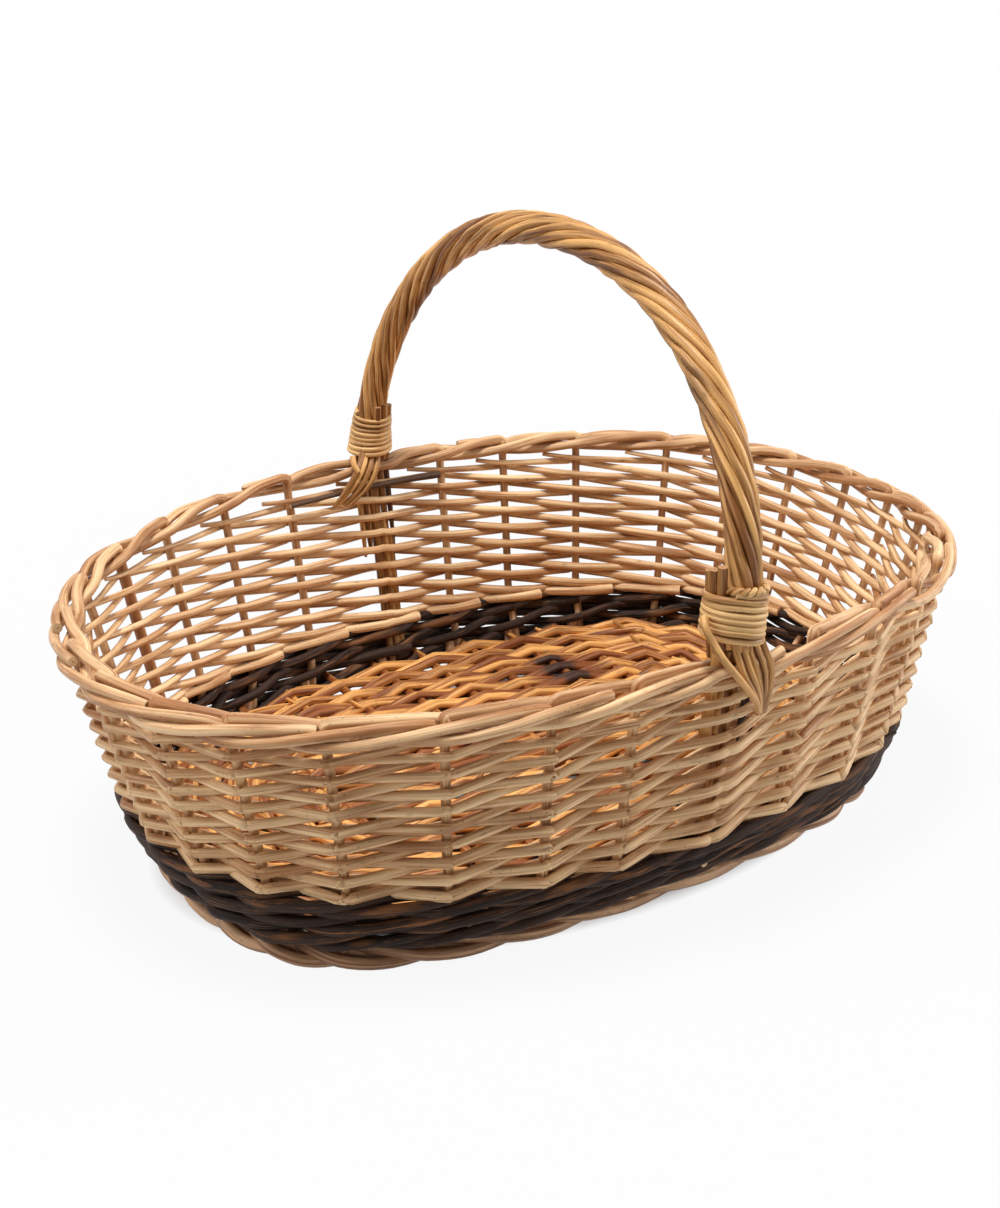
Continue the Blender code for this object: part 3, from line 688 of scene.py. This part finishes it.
# Each point of a course: places passed, then how far out and how far up the rod lies there, in steps.
BORDER_COURSE = (
    (0.00, 0.00, 0.55), (0.03, -0.02, 0.80), (0.12, -0.06, 0.90), (0.50, -0.38, 0.78), (1.00, -1.00, 0.22),
    (1.50, -0.05, -0.52), (2.00, 1.00, -0.62), (2.50, 1.12, -0.22), (3.00, 1.00, 0.32), (3.50, 0.75, 0.66),
    (3.80, 0.45, 0.60), (4.05, 0.10, 0.15),
)


def place_angle(place):
    """The angle of a stake's place; a place with a fraction lies between two stakes."""
    lower = math.floor(place)
    turns = []
    for number in (lower, lower + 1):
        turns.append(FIRST_PLACE_ANGLE + (number + SHIFT_SHARES[number % PLACES]) * 2 * math.pi / PLACES)
    return turns[0] + (turns[1] - turns[0]) * (place - lower)


def rim_height(place):
    """The middle of the border, a little higher along the sides than at the ends."""
    return RIM_HEIGHT - RIM_SADDLE * math.cos(2 * place_angle(place))


def held(place):
    """The same place, kept at the leg's own while a rod passes the wide leg of the handle."""
    nearest = round(place)
    past = place - nearest
    if nearest % PLACES not in LEG_PLACES:
        return place
    if abs(past) <= LEG_HOLD:
        return nearest
    return nearest + math.copysign((abs(past) - LEG_HOLD) / (0.5 - LEG_HOLD) / 2, past)


def on_course(course, run):
    """How far out and up a rod lies on its course after this many places."""
    for (start, *first), (end, *last) in zip(course, course[1:]):
        if run <= end:
            share = (run - start) / (end - start)
            return [low + (high - low) * share for low, high in zip(first, last)]
    return course[-1][1:]


def loosened(offsets, play, steps, chance):
    """Offsets out and up, given in steps, with a little play."""
    return [(offset + chance.uniform(-play, play)) * step for offset, step in zip(offsets, steps)]


def beside_wall(place, height, out, up):
    """A point this far out of the wall and above this height."""
    angle = place_angle(place)
    return wall(angle, height) + out * outward(angle, height) + Vector((0.0, 0.0, up))


PEELED_WILLOW = willow(
    "peeled_willow", (243, 206, 157), (180, 126, 78), (128, 78, 44),
    tint_share=0.5, contrast=1.2,
)
STAKE_WILLOW = willow(
    "stake_willow", (242, 204, 156), (168, 112, 66), (126, 76, 42), tint_share=0.7
)

stakes = Rods(3)
for place in range(PLACES):
    if place in LEG_PLACES:
        continue
    line = [beside_wall(place, height, 0.0, 0.0) for height in STAKE_HEIGHTS]
    line.append(beside_wall(place, rim_height(place) - STAKE_TOP_DROP * BORDER_STEP, 0.0, 0.0))
    in_wall = len(line)
    is_broad = place == BROAD_STAKE
    is_front = math.sin(place_angle(place)) < 0
    # Front stakes take the paler tint: painted light against the shade on the front wall's outside.
    tints = [BROAD_STAKE_TINT if is_broad else STAKE_TINTS_FRONT_PAINTED_PALER[is_front]] * in_wall
    border_tint = stakes.chance.uniform(*BORDER_TINTS)
    is_shown = stakes.chance.random() < BORDER_END_SHOWN_CHANCE
    end = stakes.chance.uniform(*(SHOWN_BORDER_ENDS if is_shown else HIDDEN_BORDER_ENDS))
    runs = [run for run, *_ in BORDER_COURSE if run < end - BORDER_END_GAP] + [end]
    for passed in (1, 2, 3):
        if (place + passed) % PLACES in LEG_PLACES:
            runs += [passed - LEG_HOLD, passed + LEG_HOLD]
    for run in sorted(runs):
        offsets = on_course(BORDER_COURSE, held(place + run) - place)
        out, up = loosened(offsets, BORDER_PLAY, (BORDER_STEP, BORDER_STEP), stakes.chance)
        line.append(beside_wall(place + run, rim_height(place + run), out, up))
        tints.append(border_tint + stakes.chance.uniform(*BORDER_TINT_PLAY))
    thinner = (BORDER_RADII[0] - BORDER_RADII[1]) / (len(line) - in_wall)
    radii = [STAKE_RADIUS * (BROAD_STAKE_SHARE if is_broad else 1.0)] * in_wall
    radii += [BORDER_RADII[0] - thinner * number for number in range(len(line) - in_wall)]
    stakes.lay(line, radii, tints)
stakes_and_border = stakes.make("stakes_and_border", STAKE_WILLOW, CUT_PALE, sides=12, bend=0.0008)
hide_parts(*nodes_called("stake_"))


# Foot. Thick peeled rods are set in beside the stakes and turned into a small border below the basket,
# one scallop for each stake. The basket stands on their undersides. These rods are all of a darker,
# browner willow than the wall's.
FOOT_RADII = (0.0036, 0.0031)
FOOT_STEP = 0.0054
FOOT_LEVEL = 0.0058
FOOT_ROD_PLACE = 0.13
FOOT_ROD_INSET = 0.0005
FOOT_ROD_HEIGHTS = (0.0260, 0.0120)
FOOT_COURSE_PLACE = 0.10
FOOT_COURSE = (
    (0.00, 0.00, 0.50), (0.50, -0.40, -0.40), (1.00, -1.00, 0.00), (1.50, 0.10, 0.50),
    (2.00, 1.05, 0.10), (2.50, 0.90, -0.38), (3.00, 0.05, -0.42), (3.30, -0.70, -0.30),
)

FOOT_WILLOW = willow("foot_willow", (238, 190, 146), (144, 98, 66), (92, 58, 38), contrast=1.2)

foot_rods = Rods(4)
for place in range(PLACES):
    start = place + FOOT_ROD_PLACE
    line = [beside_wall(start, height, -FOOT_ROD_INSET, 0.0) for height in FOOT_ROD_HEIGHTS]
    for run, out, up in FOOT_COURSE:
        spot = place + FOOT_COURSE_PLACE + run
        line.append(beside_wall(spot, FOOT_LEVEL, out * FOOT_STEP, up * FOOT_STEP))
    foot_rods.lay(line, FOOT_RADII)
foot_border = foot_rods.make("foot_border", FOOT_WILLOW, CUT_PALE, bend=0.0005)
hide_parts(*nodes_called("foot_rod"))


# Dark band. Three unpeeled rods are waled round the foot of the wall in three rows, each rod in front of
# two stakes and behind the next, so that they lie together like a rope. Their ends are inside, but for
# one thin tip that stands out at the right.
DARK_STRANDS = 3
DARK_RADII = (0.0033, 0.0026)
DARK_ROWS = (0.0198, 0.0308, 0.0412)
DARK_STEPS = (0.0058, 0.0054)
DARK_PLAY = 0.07
DARK_COURSE = (
    (0.0, -1.00, 0.00), (0.5, 0.00, -0.72), (1.0, 1.00, -0.50), (1.5, 1.10, 0.00),
    (2.0, 1.00, 0.50), (2.5, 0.00, 0.72), (3.0, -1.00, 0.00),
)
DARK_CLIMB_PLACES = 4
DARK_ROD_STROKES = (4, 8)
DARK_OVERLAP = 0.2
DARK_TIP = ((25.00, 0.0420, 0.0048), (25.40, 0.0430, 0.0062), (25.62, 0.0445, 0.0085))
DARK_TIP_RADII = (0.0022, 0.0011)
DARK_TIP_TINT = 0.6

DARK_WILLOW = willow(
    "dark_willow", (58, 40, 31), (9, 7, 6), (178, 118, 74),
    tint_share=0.4, contrast=1.6, specks=0.2, roughness=0.62, relief=0.0012, gloss=0.18,
)
CUT_DARK = cut_wood("cut_dark", (128, 88, 56), (84, 54, 34))


def dark_height(place):
    """Level rounds, with a step up over the last few places of each."""
    row, passed = divmod(place, PLACES)
    height = DARK_ROWS[int(row)]
    following = DARK_ROWS[min(int(row) + 1, len(DARK_ROWS) - 1)]
    return height + (following - height) * max(0.0, 1 - (PLACES - passed) / DARK_CLIMB_PLACES)


dark_rods = Rods(5)
for strand in range(DARK_STRANDS):
    place = float(strand)
    last = len(DARK_ROWS) * PLACES - DARK_STRANDS + strand
    while place < last - 1:
        end = min(round(place) + DARK_STRANDS * dark_rods.chance.randint(*DARK_ROD_STROKES), last)
        line = []
        places = [place] + [step / 2 for step in range(int(place * 2) + 2, int(end * 2) + 1)]
        for leg in range(math.ceil(place), math.floor(end)):
            if leg % PLACES in LEG_PLACES:
                places += [leg - SIDE_LEG_HOLD, leg + SIDE_LEG_HOLD]
        for spot in sorted(places):
            offsets = on_course(DARK_COURSE, (held(spot) - strand) % DARK_STRANDS)
            out, up = loosened(offsets, DARK_PLAY, DARK_STEPS, dark_rods.chance)
            line.append(beside_wall(spot, dark_height(spot), out, up))
        dark_rods.lay(line, DARK_RADII)
        place = end - DARK_OVERLAP if end < last else end
line = [beside_wall(place, height, out, 0.0) for place, height, out in DARK_TIP]
dark_rods.lay(line, DARK_TIP_RADII, DARK_TIP_TINT)
dark_band = dark_rods.make("dark_band", DARK_WILLOW, CUT_DARK, bend=0.0020, swelling=0.45)
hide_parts(*nodes_called("dark_weaver"))


# Woven wall. One peeled rod starts at each place with its cut butt inside the wall, just above the dark
# band, and climbs round the wall in front of one stake and behind the next until it reaches the border.
# One stained rod end lies inside the far wall, under the border beside the back leg.
SIDE_RODS = 30
SIDE_PLACES = 18
SIDE_BUTT_RADIUS = 0.0032
SIDE_NECK_RADIUS = 0.0028
SIDE_TIP_RADIUS = 0.0022
SIDE_END_RADIUS = 0.0014
SIDE_BUTT_PLACES = 0.42
SIDE_NECK_PLACES = 1.2
SIDE_LEVEL_PLACES = 1.0
SIDE_TAPER_PLACES = 0.6
SIDE_END_PLACES = (0.40, 0.50)
SIDE_THIN_ANGLE = math.radians(155.0)
SIDE_THINNING = 0.22
SIDE_THIN_FALL = 4
SIDE_FIRST = 0.0472
SIDE_BELOW_RIM = 0.0086
SIDE_BEND_REACH = 0.08
SIDE_BEND_SHARE = 0.90
SIDE_LEG_ROOM = 0.0010
SIDE_PLAY = 0.0004
STAINED_END_PLACES = (6.1, 6.6, 7.0, 7.5, 8.1)
STAINED_END_BELOW_RIM = 0.0096
STAINED_END_INSIDE = 0.0085


def side_radius(run, angle):
    """Thick at the butt and thinner towards the tip, and thinner round the far left of the wall."""
    share = max(0.0, run) / SIDE_PLACES
    radius = SIDE_NECK_RADIUS + (SIDE_TIP_RADIUS - SIDE_NECK_RADIUS) * share
    butt_share = max(0.0, 1 - (run + SIDE_BUTT_PLACES) / SIDE_NECK_PLACES)
    radius += (SIDE_BUTT_RADIUS - SIDE_NECK_RADIUS) * butt_share
    end_share = max(0.0, min(1.0, run - SIDE_PLACES + SIDE_TAPER_PLACES))
    radius += (SIDE_END_RADIUS - SIDE_TIP_RADIUS) * end_share
    return radius * (1 - SIDE_THINNING * max(0.0, math.cos(angle - SIDE_THIN_ANGLE)) ** SIDE_THIN_FALL)


side_rods = Rods(6)
for first in range(SIDE_RODS):
    runs = [(-SIDE_BUTT_PLACES, 0)]
    for passed in range(SIDE_PLACES + 1):
        at_leg = (first + passed) % PLACES in LEG_PLACES
        hold = SIDE_LEG_HOLD if at_leg else SIDE_BEND_REACH
        if passed % 2 or at_leg:
            runs += [(passed - hold, passed), (passed, passed), (passed + hold, passed)]
        else:
            runs.append((passed, passed))
    end = SIDE_PLACES + side_rods.chance.uniform(*SIDE_END_PLACES)
    runs.append((end, SIDE_PLACES))
    line = []
    radii = []
    tint = side_rods.chance.random()
    lift = side_rods.chance.uniform(-SIDE_PLAY, SIDE_PLAY)
    for run, passed in runs:
        radius = side_radius(run, place_angle(first + run))
        at_leg = (first + passed) % PLACES in LEG_PLACES
        reach = STAKE_RADIUS + radius + (SIDE_LEG_ROOM if at_leg else 0.0)
        if run == end:
            reach = 0.0
        elif run != passed and not at_leg and passed > 0:
            reach *= SIDE_BEND_SHARE
        climb = max(0.0, run - SIDE_LEVEL_PLACES) / (SIDE_PLACES - SIDE_LEVEL_PLACES)
        height = SIDE_FIRST + (rim_height(first + run) - SIDE_BELOW_RIM - SIDE_FIRST) * climb
        height = height + lift + side_rods.chance.uniform(-SIDE_PLAY, SIDE_PLAY)
        line.append(beside_wall(first + run, height, reach if passed % 2 else -reach, 0.0))
        radii.append(radius)
    side_rods.lay(line, radii, tint)
line = []
for place in STAINED_END_PLACES:
    line.append(beside_wall(place, rim_height(place) - STAINED_END_BELOW_RIM, -STAINED_END_INSIDE, 0.0))
side_rods.lay(line, (SIDE_TIP_RADIUS, SIDE_END_RADIUS), STAINED_TINT)
woven_wall = side_rods.make("woven_wall", PEELED_WILLOW, CUT_PALE, sides=10, steps=3, bend=0.0007)
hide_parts(*nodes_called("side_weaver"))


# Handle. A bow of one thick rod stands in the wall at both sides, where it is whittled thinner, and nine
# rods are laid round it like the strands of a rope.
HANDLE_HEIGHT = 0.3211
HANDLE_START_RISE = 0.0125
HANDLE_LEAN = (0.0150, -0.0089)
HANDLE_FULLNESS = 2.1
HANDLE_FINE_STEPS = 400
HANDLE_LOOK_STEPS = 3
BOW_STEPS = 40
BOW_RADIUS = 0.0042
BOW_LEG_HEIGHTS = (0.0125, 0.0485, 0.0900, 0.1300)
BOW_LEG_BELOW_RIM = 0.0050
BOW_LEG_RADII = (0.0026, 0.0029, 0.0034, 0.0040, 0.0042)
BOW_TINT = 0.9
ROPE_RODS = 9
ROPE_STEPS = 60
ROPE_RADII = (0.00225 * 1.08, 0.00225 * 0.96)
ROPE_REACH = 0.00660
ROPE_LAY = 0.152
ROPE_PLAY = (-0.0003, 0.0004)
ROPE_TURN_PLAY = 0.05

HANDLE_WILLOW = willow(
    "handle_willow", (220, 167, 101), (124, 74, 31), (80, 46, 20),
    tint_share=0.7, contrast=1.3, specks=0.3, roughness=0.42,
)


def beside_leg(place, height, along, out):
    """A point of the leg's place at this height, moved along the wall and out of it."""
    angle = place_angle(place)
    return wall(angle, height) + along * along_wall(angle, height) + out * outward(angle, height)


HANDLE_ENDS = [beside_leg(place, rim_height(place) + HANDLE_START_RISE, 0.0, 0.0) for place in LEG_PLACES]


def handle_point(share):
    """The bow's axis, from the back leg's top at 0 over the basket to the front leg's top at 1."""
    across, rise = math.cos(math.pi * share), math.sin(math.pi * share)
    spread = math.copysign(abs(across) ** (2 / HANDLE_FULLNESS), across)
    point = HANDLE_ENDS[1].lerp(HANDLE_ENDS[0], (1 + spread) / 2)
    height = point.z + (HANDLE_HEIGHT - point.z) * max(0.0, rise) ** (2 / HANDLE_FULLNESS)
    return Vector((point.x + HANDLE_LEAN[0] * rise, point.y + HANDLE_LEAN[1] * rise, height))


HANDLE_POINTS = [handle_point(step / HANDLE_FINE_STEPS) for step in range(HANDLE_FINE_STEPS + 1)]
HANDLE_LENGTHS = [0.0]
for start, end in zip(HANDLE_POINTS, HANDLE_POINTS[1:]):
    HANDLE_LENGTHS.append(HANDLE_LENGTHS[-1] + (end - start).length)
HANDLE_LENGTH = HANDLE_LENGTHS[-1]


def round_handle(length, reach, turn):
    """A point this far along the bow and this far out from it, turned round it."""
    spot = min(max(sum(1 for one in HANDLE_LENGTHS if one < length), 1), HANDLE_FINE_STEPS)
    start, end = HANDLE_POINTS[spot - 1], HANDLE_POINTS[spot]
    share = (length - HANDLE_LENGTHS[spot - 1]) / (HANDLE_LENGTHS[spot] - HANDLE_LENGTHS[spot - 1])
    before = HANDLE_POINTS[max(spot - 1 - HANDLE_LOOK_STEPS, 0)]
    after = HANDLE_POINTS[min(spot + HANDLE_LOOK_STEPS, HANDLE_FINE_STEPS)]
    direction = (after - before).normalized()
    first = (Vector((1.0, 0.0, 0.0)) - direction * direction.x).normalized()
    second = direction.cross(first)
    return start.lerp(end, share) + reach * (math.cos(turn) * first + math.sin(turn) * second)


handle_rods = Rods(7)
legs = []
for place in LEG_PLACES:
    heights = (*BOW_LEG_HEIGHTS, rim_height(place) - BOW_LEG_BELOW_RIM)
    legs.append([beside_leg(place, height, 0.0, 0.0) for height in heights])
arch = [round_handle(HANDLE_LENGTH * step / BOW_STEPS, 0.0, 0.0) for step in range(BOW_STEPS + 1)]
radii = [*BOW_LEG_RADII, *[BOW_RADIUS] * len(arch), *BOW_LEG_RADII[::-1]]
handle_rods.lay(legs[0] + arch + legs[1][::-1], radii, BOW_TINT)
for strand in range(ROPE_RODS):
    line = []
    for step in range(ROPE_STEPS + 1):
        length = HANDLE_LENGTH * step / ROPE_STEPS
        reach = ROPE_REACH + handle_rods.chance.uniform(*ROPE_PLAY)
        turn = 2 * math.pi * (strand / ROPE_RODS - length / ROPE_LAY)
        turn += handle_rods.chance.uniform(-ROPE_TURN_PLAY, ROPE_TURN_PLAY)
        line.append(round_handle(length, reach, turn))
    handle_rods.lay(line, ROPE_RADII if strand % 2 else ROPE_RADII[::-1])
handle = handle_rods.make("handle", HANDLE_WILLOW, CUT_BROWN, sides=12, steps=3, bend=0.0005, swelling=0.14)
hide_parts(*nodes_called("handle_bow", "rope_rod"))


# Leg sticks. Cut sticks stand beside each leg of the handle, pushed down into the wall. Their pointed
# ends show in the gaps of the weave, and three butts stand out above each binding.
# Each stick: offset along the wall, heights of its two ends, radii of its two ends and its tint.
BACK_STICKS = (
    (-0.0046, 0.0300, 0.1150, 0.0021, 0.0021, 0.0), (-0.0086, 0.0300, 0.1000, 0.0019, 0.0018, 0.1),
    (0.0062, 0.0930, 0.1560, 0.0011, 0.0027, 1.0), (0.0102, 0.0900, 0.1540, 0.0009, 0.0020, 0.2),
    (-0.0062, 0.0960, 0.1560, 0.0011, 0.0023, 1.1), (-0.0106, 0.0930, 0.1540, 0.0007, 0.0018, 1.7),
)
FRONT_STICKS = (
    (0.0046, 0.0300, 0.1000, 0.0022, 0.0021, 0.2), (-0.0095, 0.1045, 0.1560, 0.0033, 0.0030, -0.2),
    (-0.0028, 0.1097, 0.1560, 0.0026, 0.0026, -0.1), (0.0042, 0.1120, 0.1560, 0.0014, 0.0024, 0.3),
    (0.0130, 0.0990, 0.1300, 0.0006, 0.0020, 2.0),
)
LEG_STICK_INSIDE = 0.0010

# A stick grows to its upper radius: share of its height, share of the growth.
LEG_STICK_SHAPE = ((0.0, 0.0), (0.25, 0.7), (0.6, 1.0), (1.0, 1.0))

# Each butt: its place beside the bow and its height. It bends out: share of its reach, share of its rise.
BACK_BUTTS = ((0.0012, -0.0114, 0.0412), (0.0063, -0.0102, 0.0420), (0.0106, -0.0072, 0.0405))
FRONT_BUTTS = ((-0.0112, 0.0078, 0.0500), (-0.0115, 0.0038, 0.0515), (-0.0106, -0.0006, 0.0540))
BUTT_SHAPE = ((0.80, 0.0), (0.92, 0.5), (1.0, 1.0))
BUTT_RADIUS = 0.0024
BUTT_START_RISE = 0.0060
BUTT_TINT = 1.1

leg_rods = Rods(8)
for place, given, butts in zip(LEG_PLACES, (BACK_STICKS, FRONT_STICKS), (BACK_BUTTS, FRONT_BUTTS)):
    for along, low, high, low_radius, high_radius, tint in given:
        heights = [low + (high - low) * share for share, _ in LEG_STICK_SHAPE]
        line = [beside_leg(place, height, along, -LEG_STICK_INSIDE) for height in heights]
        radii = [low_radius * (1 - growth) + high_radius * growth for _, growth in LEG_STICK_SHAPE]
        leg_rods.lay(line, radii, tint)
    start = beside_leg(place, rim_height(place) + BUTT_START_RISE, 0.0, 0.0)
    for x, y, height in butts:
        rise = height - BUTT_START_RISE
        line = [start + Vector((x * spread, y * spread, rise * share)) for spread, share in BUTT_SHAPE]
        leg_rods.lay(line, (BUTT_RADIUS, BUTT_RADIUS), BUTT_TINT)
leg_sticks = leg_rods.make("leg_sticks", HANDLE_WILLOW, CUT_BROWN, bend=0.0006)


# Bindings. A thin rod is wound tightly round the roping and the butts just above the border, at each side.
# It starts at the bottom. The front one is closed above with a collar of two thin rods twisted together.
BACK_BINDING = {
    "turns": 8.5, "start": -0.0020, "length": 0.0262, "radii": (0.00180, 0.00125), "core": (0.0096, 0.0080),
    "side": -58.0, "bulge": 0.0026, "tilt": 0.0014, "tilt_side": 20.0, "wobble": 0.0004,
}
FRONT_BINDING = {
    "turns": 7.4, "start": 0.0045, "length": 0.0225, "radii": (0.00175, 0.00160), "core": (0.0092, 0.0090),
    "side": 147.0, "bulge": 0.0068, "tilt": 0.0010, "tilt_side": 200.0, "wobble": 0.0006,
}
BINDING_POINTS_PER_TURN = 20
BINDING_WOBBLES_PER_TURN = 3
BINDING_WOBBLE_OUT = 0.5
BINDING_BULGE_FALL = 1.5
BINDING_TINT = 0.5
COLLAR_PLACE = 0.0288
COLLAR_REACH = 0.0104
COLLAR_START_TURN = 1.2
COLLAR_TURNS = 0.97
COLLAR_TWISTS = 9
COLLAR_TWIST_REACH = 0.0011
COLLAR_POINTS_PER_TWIST = 8
COLLAR_RADIUS = 0.00125
COLLAR_TINT = 0.8

BINDING_WILLOW = willow(
    "binding_willow", (236, 194, 132), (160, 108, 56), (104, 66, 32),
    contrast=1.3, specks=0.3, roughness=0.42,
)


def wind(rods, way, sizes):
    """The rod of one binding. Way is 1 at the back leg and -1 at the front leg, where the bow ends."""
    steps = int(sizes["turns"] * BINDING_POINTS_PER_TURN)
    count = int(sizes["turns"] * BINDING_WOBBLES_PER_TURN) + 2
    wobbles = [rods.chance.uniform(-sizes["wobble"], sizes["wobble"]) for _ in range(count)]
    line = []
    radii = []
    for step in range(steps + 1):
        share = step / steps
        turn = 2 * math.pi * step / BINDING_POINTS_PER_TURN
        spot = step / BINDING_POINTS_PER_TURN * BINDING_WOBBLES_PER_TURN
        lower = int(spot)
        wobble = wobbles[lower] + (wobbles[lower + 1] - wobbles[lower]) * (spot - lower)
        radius, core = [start + (end - start) * share for start, end in (sizes["radii"], sizes["core"])]
        bulging = max(0.0, math.cos(turn - way * math.radians(sizes["side"]))) ** BINDING_BULGE_FALL
        tilt = sizes["tilt"] * math.cos(turn - way * math.radians(sizes["tilt_side"]))
        place = sizes["start"] + share * sizes["length"] + tilt + wobble
        reach = core + sizes["bulge"] * bulging + radius + wobble * BINDING_WOBBLE_OUT
        line.append(round_handle(place if way > 0 else HANDLE_LENGTH - place, reach, turn))
        radii.append(radius)
    rods.lay(line, radii, BINDING_TINT)


def twist_collar(rods):
    """The two thin rods above the front binding, twisted together."""
    steps = COLLAR_TWISTS * COLLAR_POINTS_PER_TWIST
    for strand in (0.0, math.pi):
        line = []
        for step in range(steps + 1):
            turn = 2 * math.pi * step / steps
            twist = strand + turn * COLLAR_TWISTS
            place = HANDLE_LENGTH - COLLAR_PLACE + COLLAR_TWIST_REACH * math.sin(twist)
            reach = COLLAR_REACH + COLLAR_TWIST_REACH * math.cos(twist)
            line.append(round_handle(place, reach, turn * COLLAR_TURNS + COLLAR_START_TURN))
        rods.lay(line, (COLLAR_RADIUS, COLLAR_RADIUS), COLLAR_TINT)


for name, way, sizes, seed in (
    ("back_binding", 1, BACK_BINDING, 9),
    ("front_binding", -1, FRONT_BINDING, 10),
):
    binding_rods = Rods(seed)
    wind(binding_rods, way, sizes)
    if name == "front_binding":
        twist_collar(binding_rods)
    binding = binding_rods.make(name, BINDING_WILLOW, CUT_PALE, steps=3, bend=0.0006)
    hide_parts(name)


# Tails. Ends of the roping rods come out below each binding and are laid side by side over the border,
# inside the basket at the back and outside it at the front. A pale end of the binding goes with them.
# Each row: height, offsets along the wall of the first and the last rod, and reach out of the wall.
BACK_TAILS = 4
BACK_TAIL_ROWS = (
    (0.1640, 0.0060, -0.0030, -0.0070), (0.1550, 0.0104, -0.0010, -0.0100),
    (0.1490, 0.0160, 0.0020, -0.0130), (0.1420, 0.0218, 0.0065, -0.0134),
    (0.1350, 0.0270, 0.0135, -0.0118), (0.1285, 0.0325, 0.0225, -0.0100),
)
FRONT_TAILS = 5
FRONT_TAIL_ROWS = (
    (0.1740, -0.0080, 0.0070, 0.0010), (0.1600, -0.0060, 0.0095, 0.0060),
    (0.1490, -0.0045, 0.0120, 0.0125), (0.1385, 0.0025, 0.0140, 0.0128),
    (0.1290, 0.0090, 0.0155, 0.0110), (0.1195, 0.0135, 0.0170, 0.0088),
)
BACK_PALE_END = ((0.1570, 0.0160, -0.0100), (0.1530, 0.0172, -0.0130), (0.1488, 0.0158, -0.0146))
FRONT_PALE_END = (
    (0.1760, -0.0190, -0.0050), (0.1722, -0.0215, 0.0005), (0.1655, -0.0190, 0.0050),
    (0.1590, -0.0165, 0.0100), (0.1485, -0.0090, 0.0145), (0.1385, -0.0005, 0.0145),
    (0.1290, 0.0075, 0.0125), (0.1220, 0.0115, 0.0105),
)
TAIL_RADII = (0.0018, 0.0014)
TAIL_PLAY = 0.0006
PALE_END_RADII = (0.0019, 0.0016)
PALE_END_TINT = -0.3

for name, place, count, rows, pale_end, seed in (
    ("back_tails", LEG_PLACES[0], BACK_TAILS, BACK_TAIL_ROWS, BACK_PALE_END, 11),
    ("front_tails", LEG_PLACES[1], FRONT_TAILS, FRONT_TAIL_ROWS, FRONT_PALE_END, 12),
):
    tail_rods = Rods(seed)
    for number in range(count):
        share = number / (count - 1)
        play = tail_rods.chance.uniform(-TAIL_PLAY, TAIL_PLAY)
        line = []
        for height, first, last, out in rows:
            line.append(beside_leg(place, height + play, first + (last - first) * share, out + play))
        tail_rods.lay(line, TAIL_RADII)
    line = [beside_leg(place, height, along, out) for height, along, out in pale_end]
    tail_rods.lay(line, PALE_END_RADII, PALE_END_TINT)
    tails = tail_rods.make(name, HANDLE_WILLOW, CUT_PALE, bend=0.0006)

bpy.context.view_layer.update()
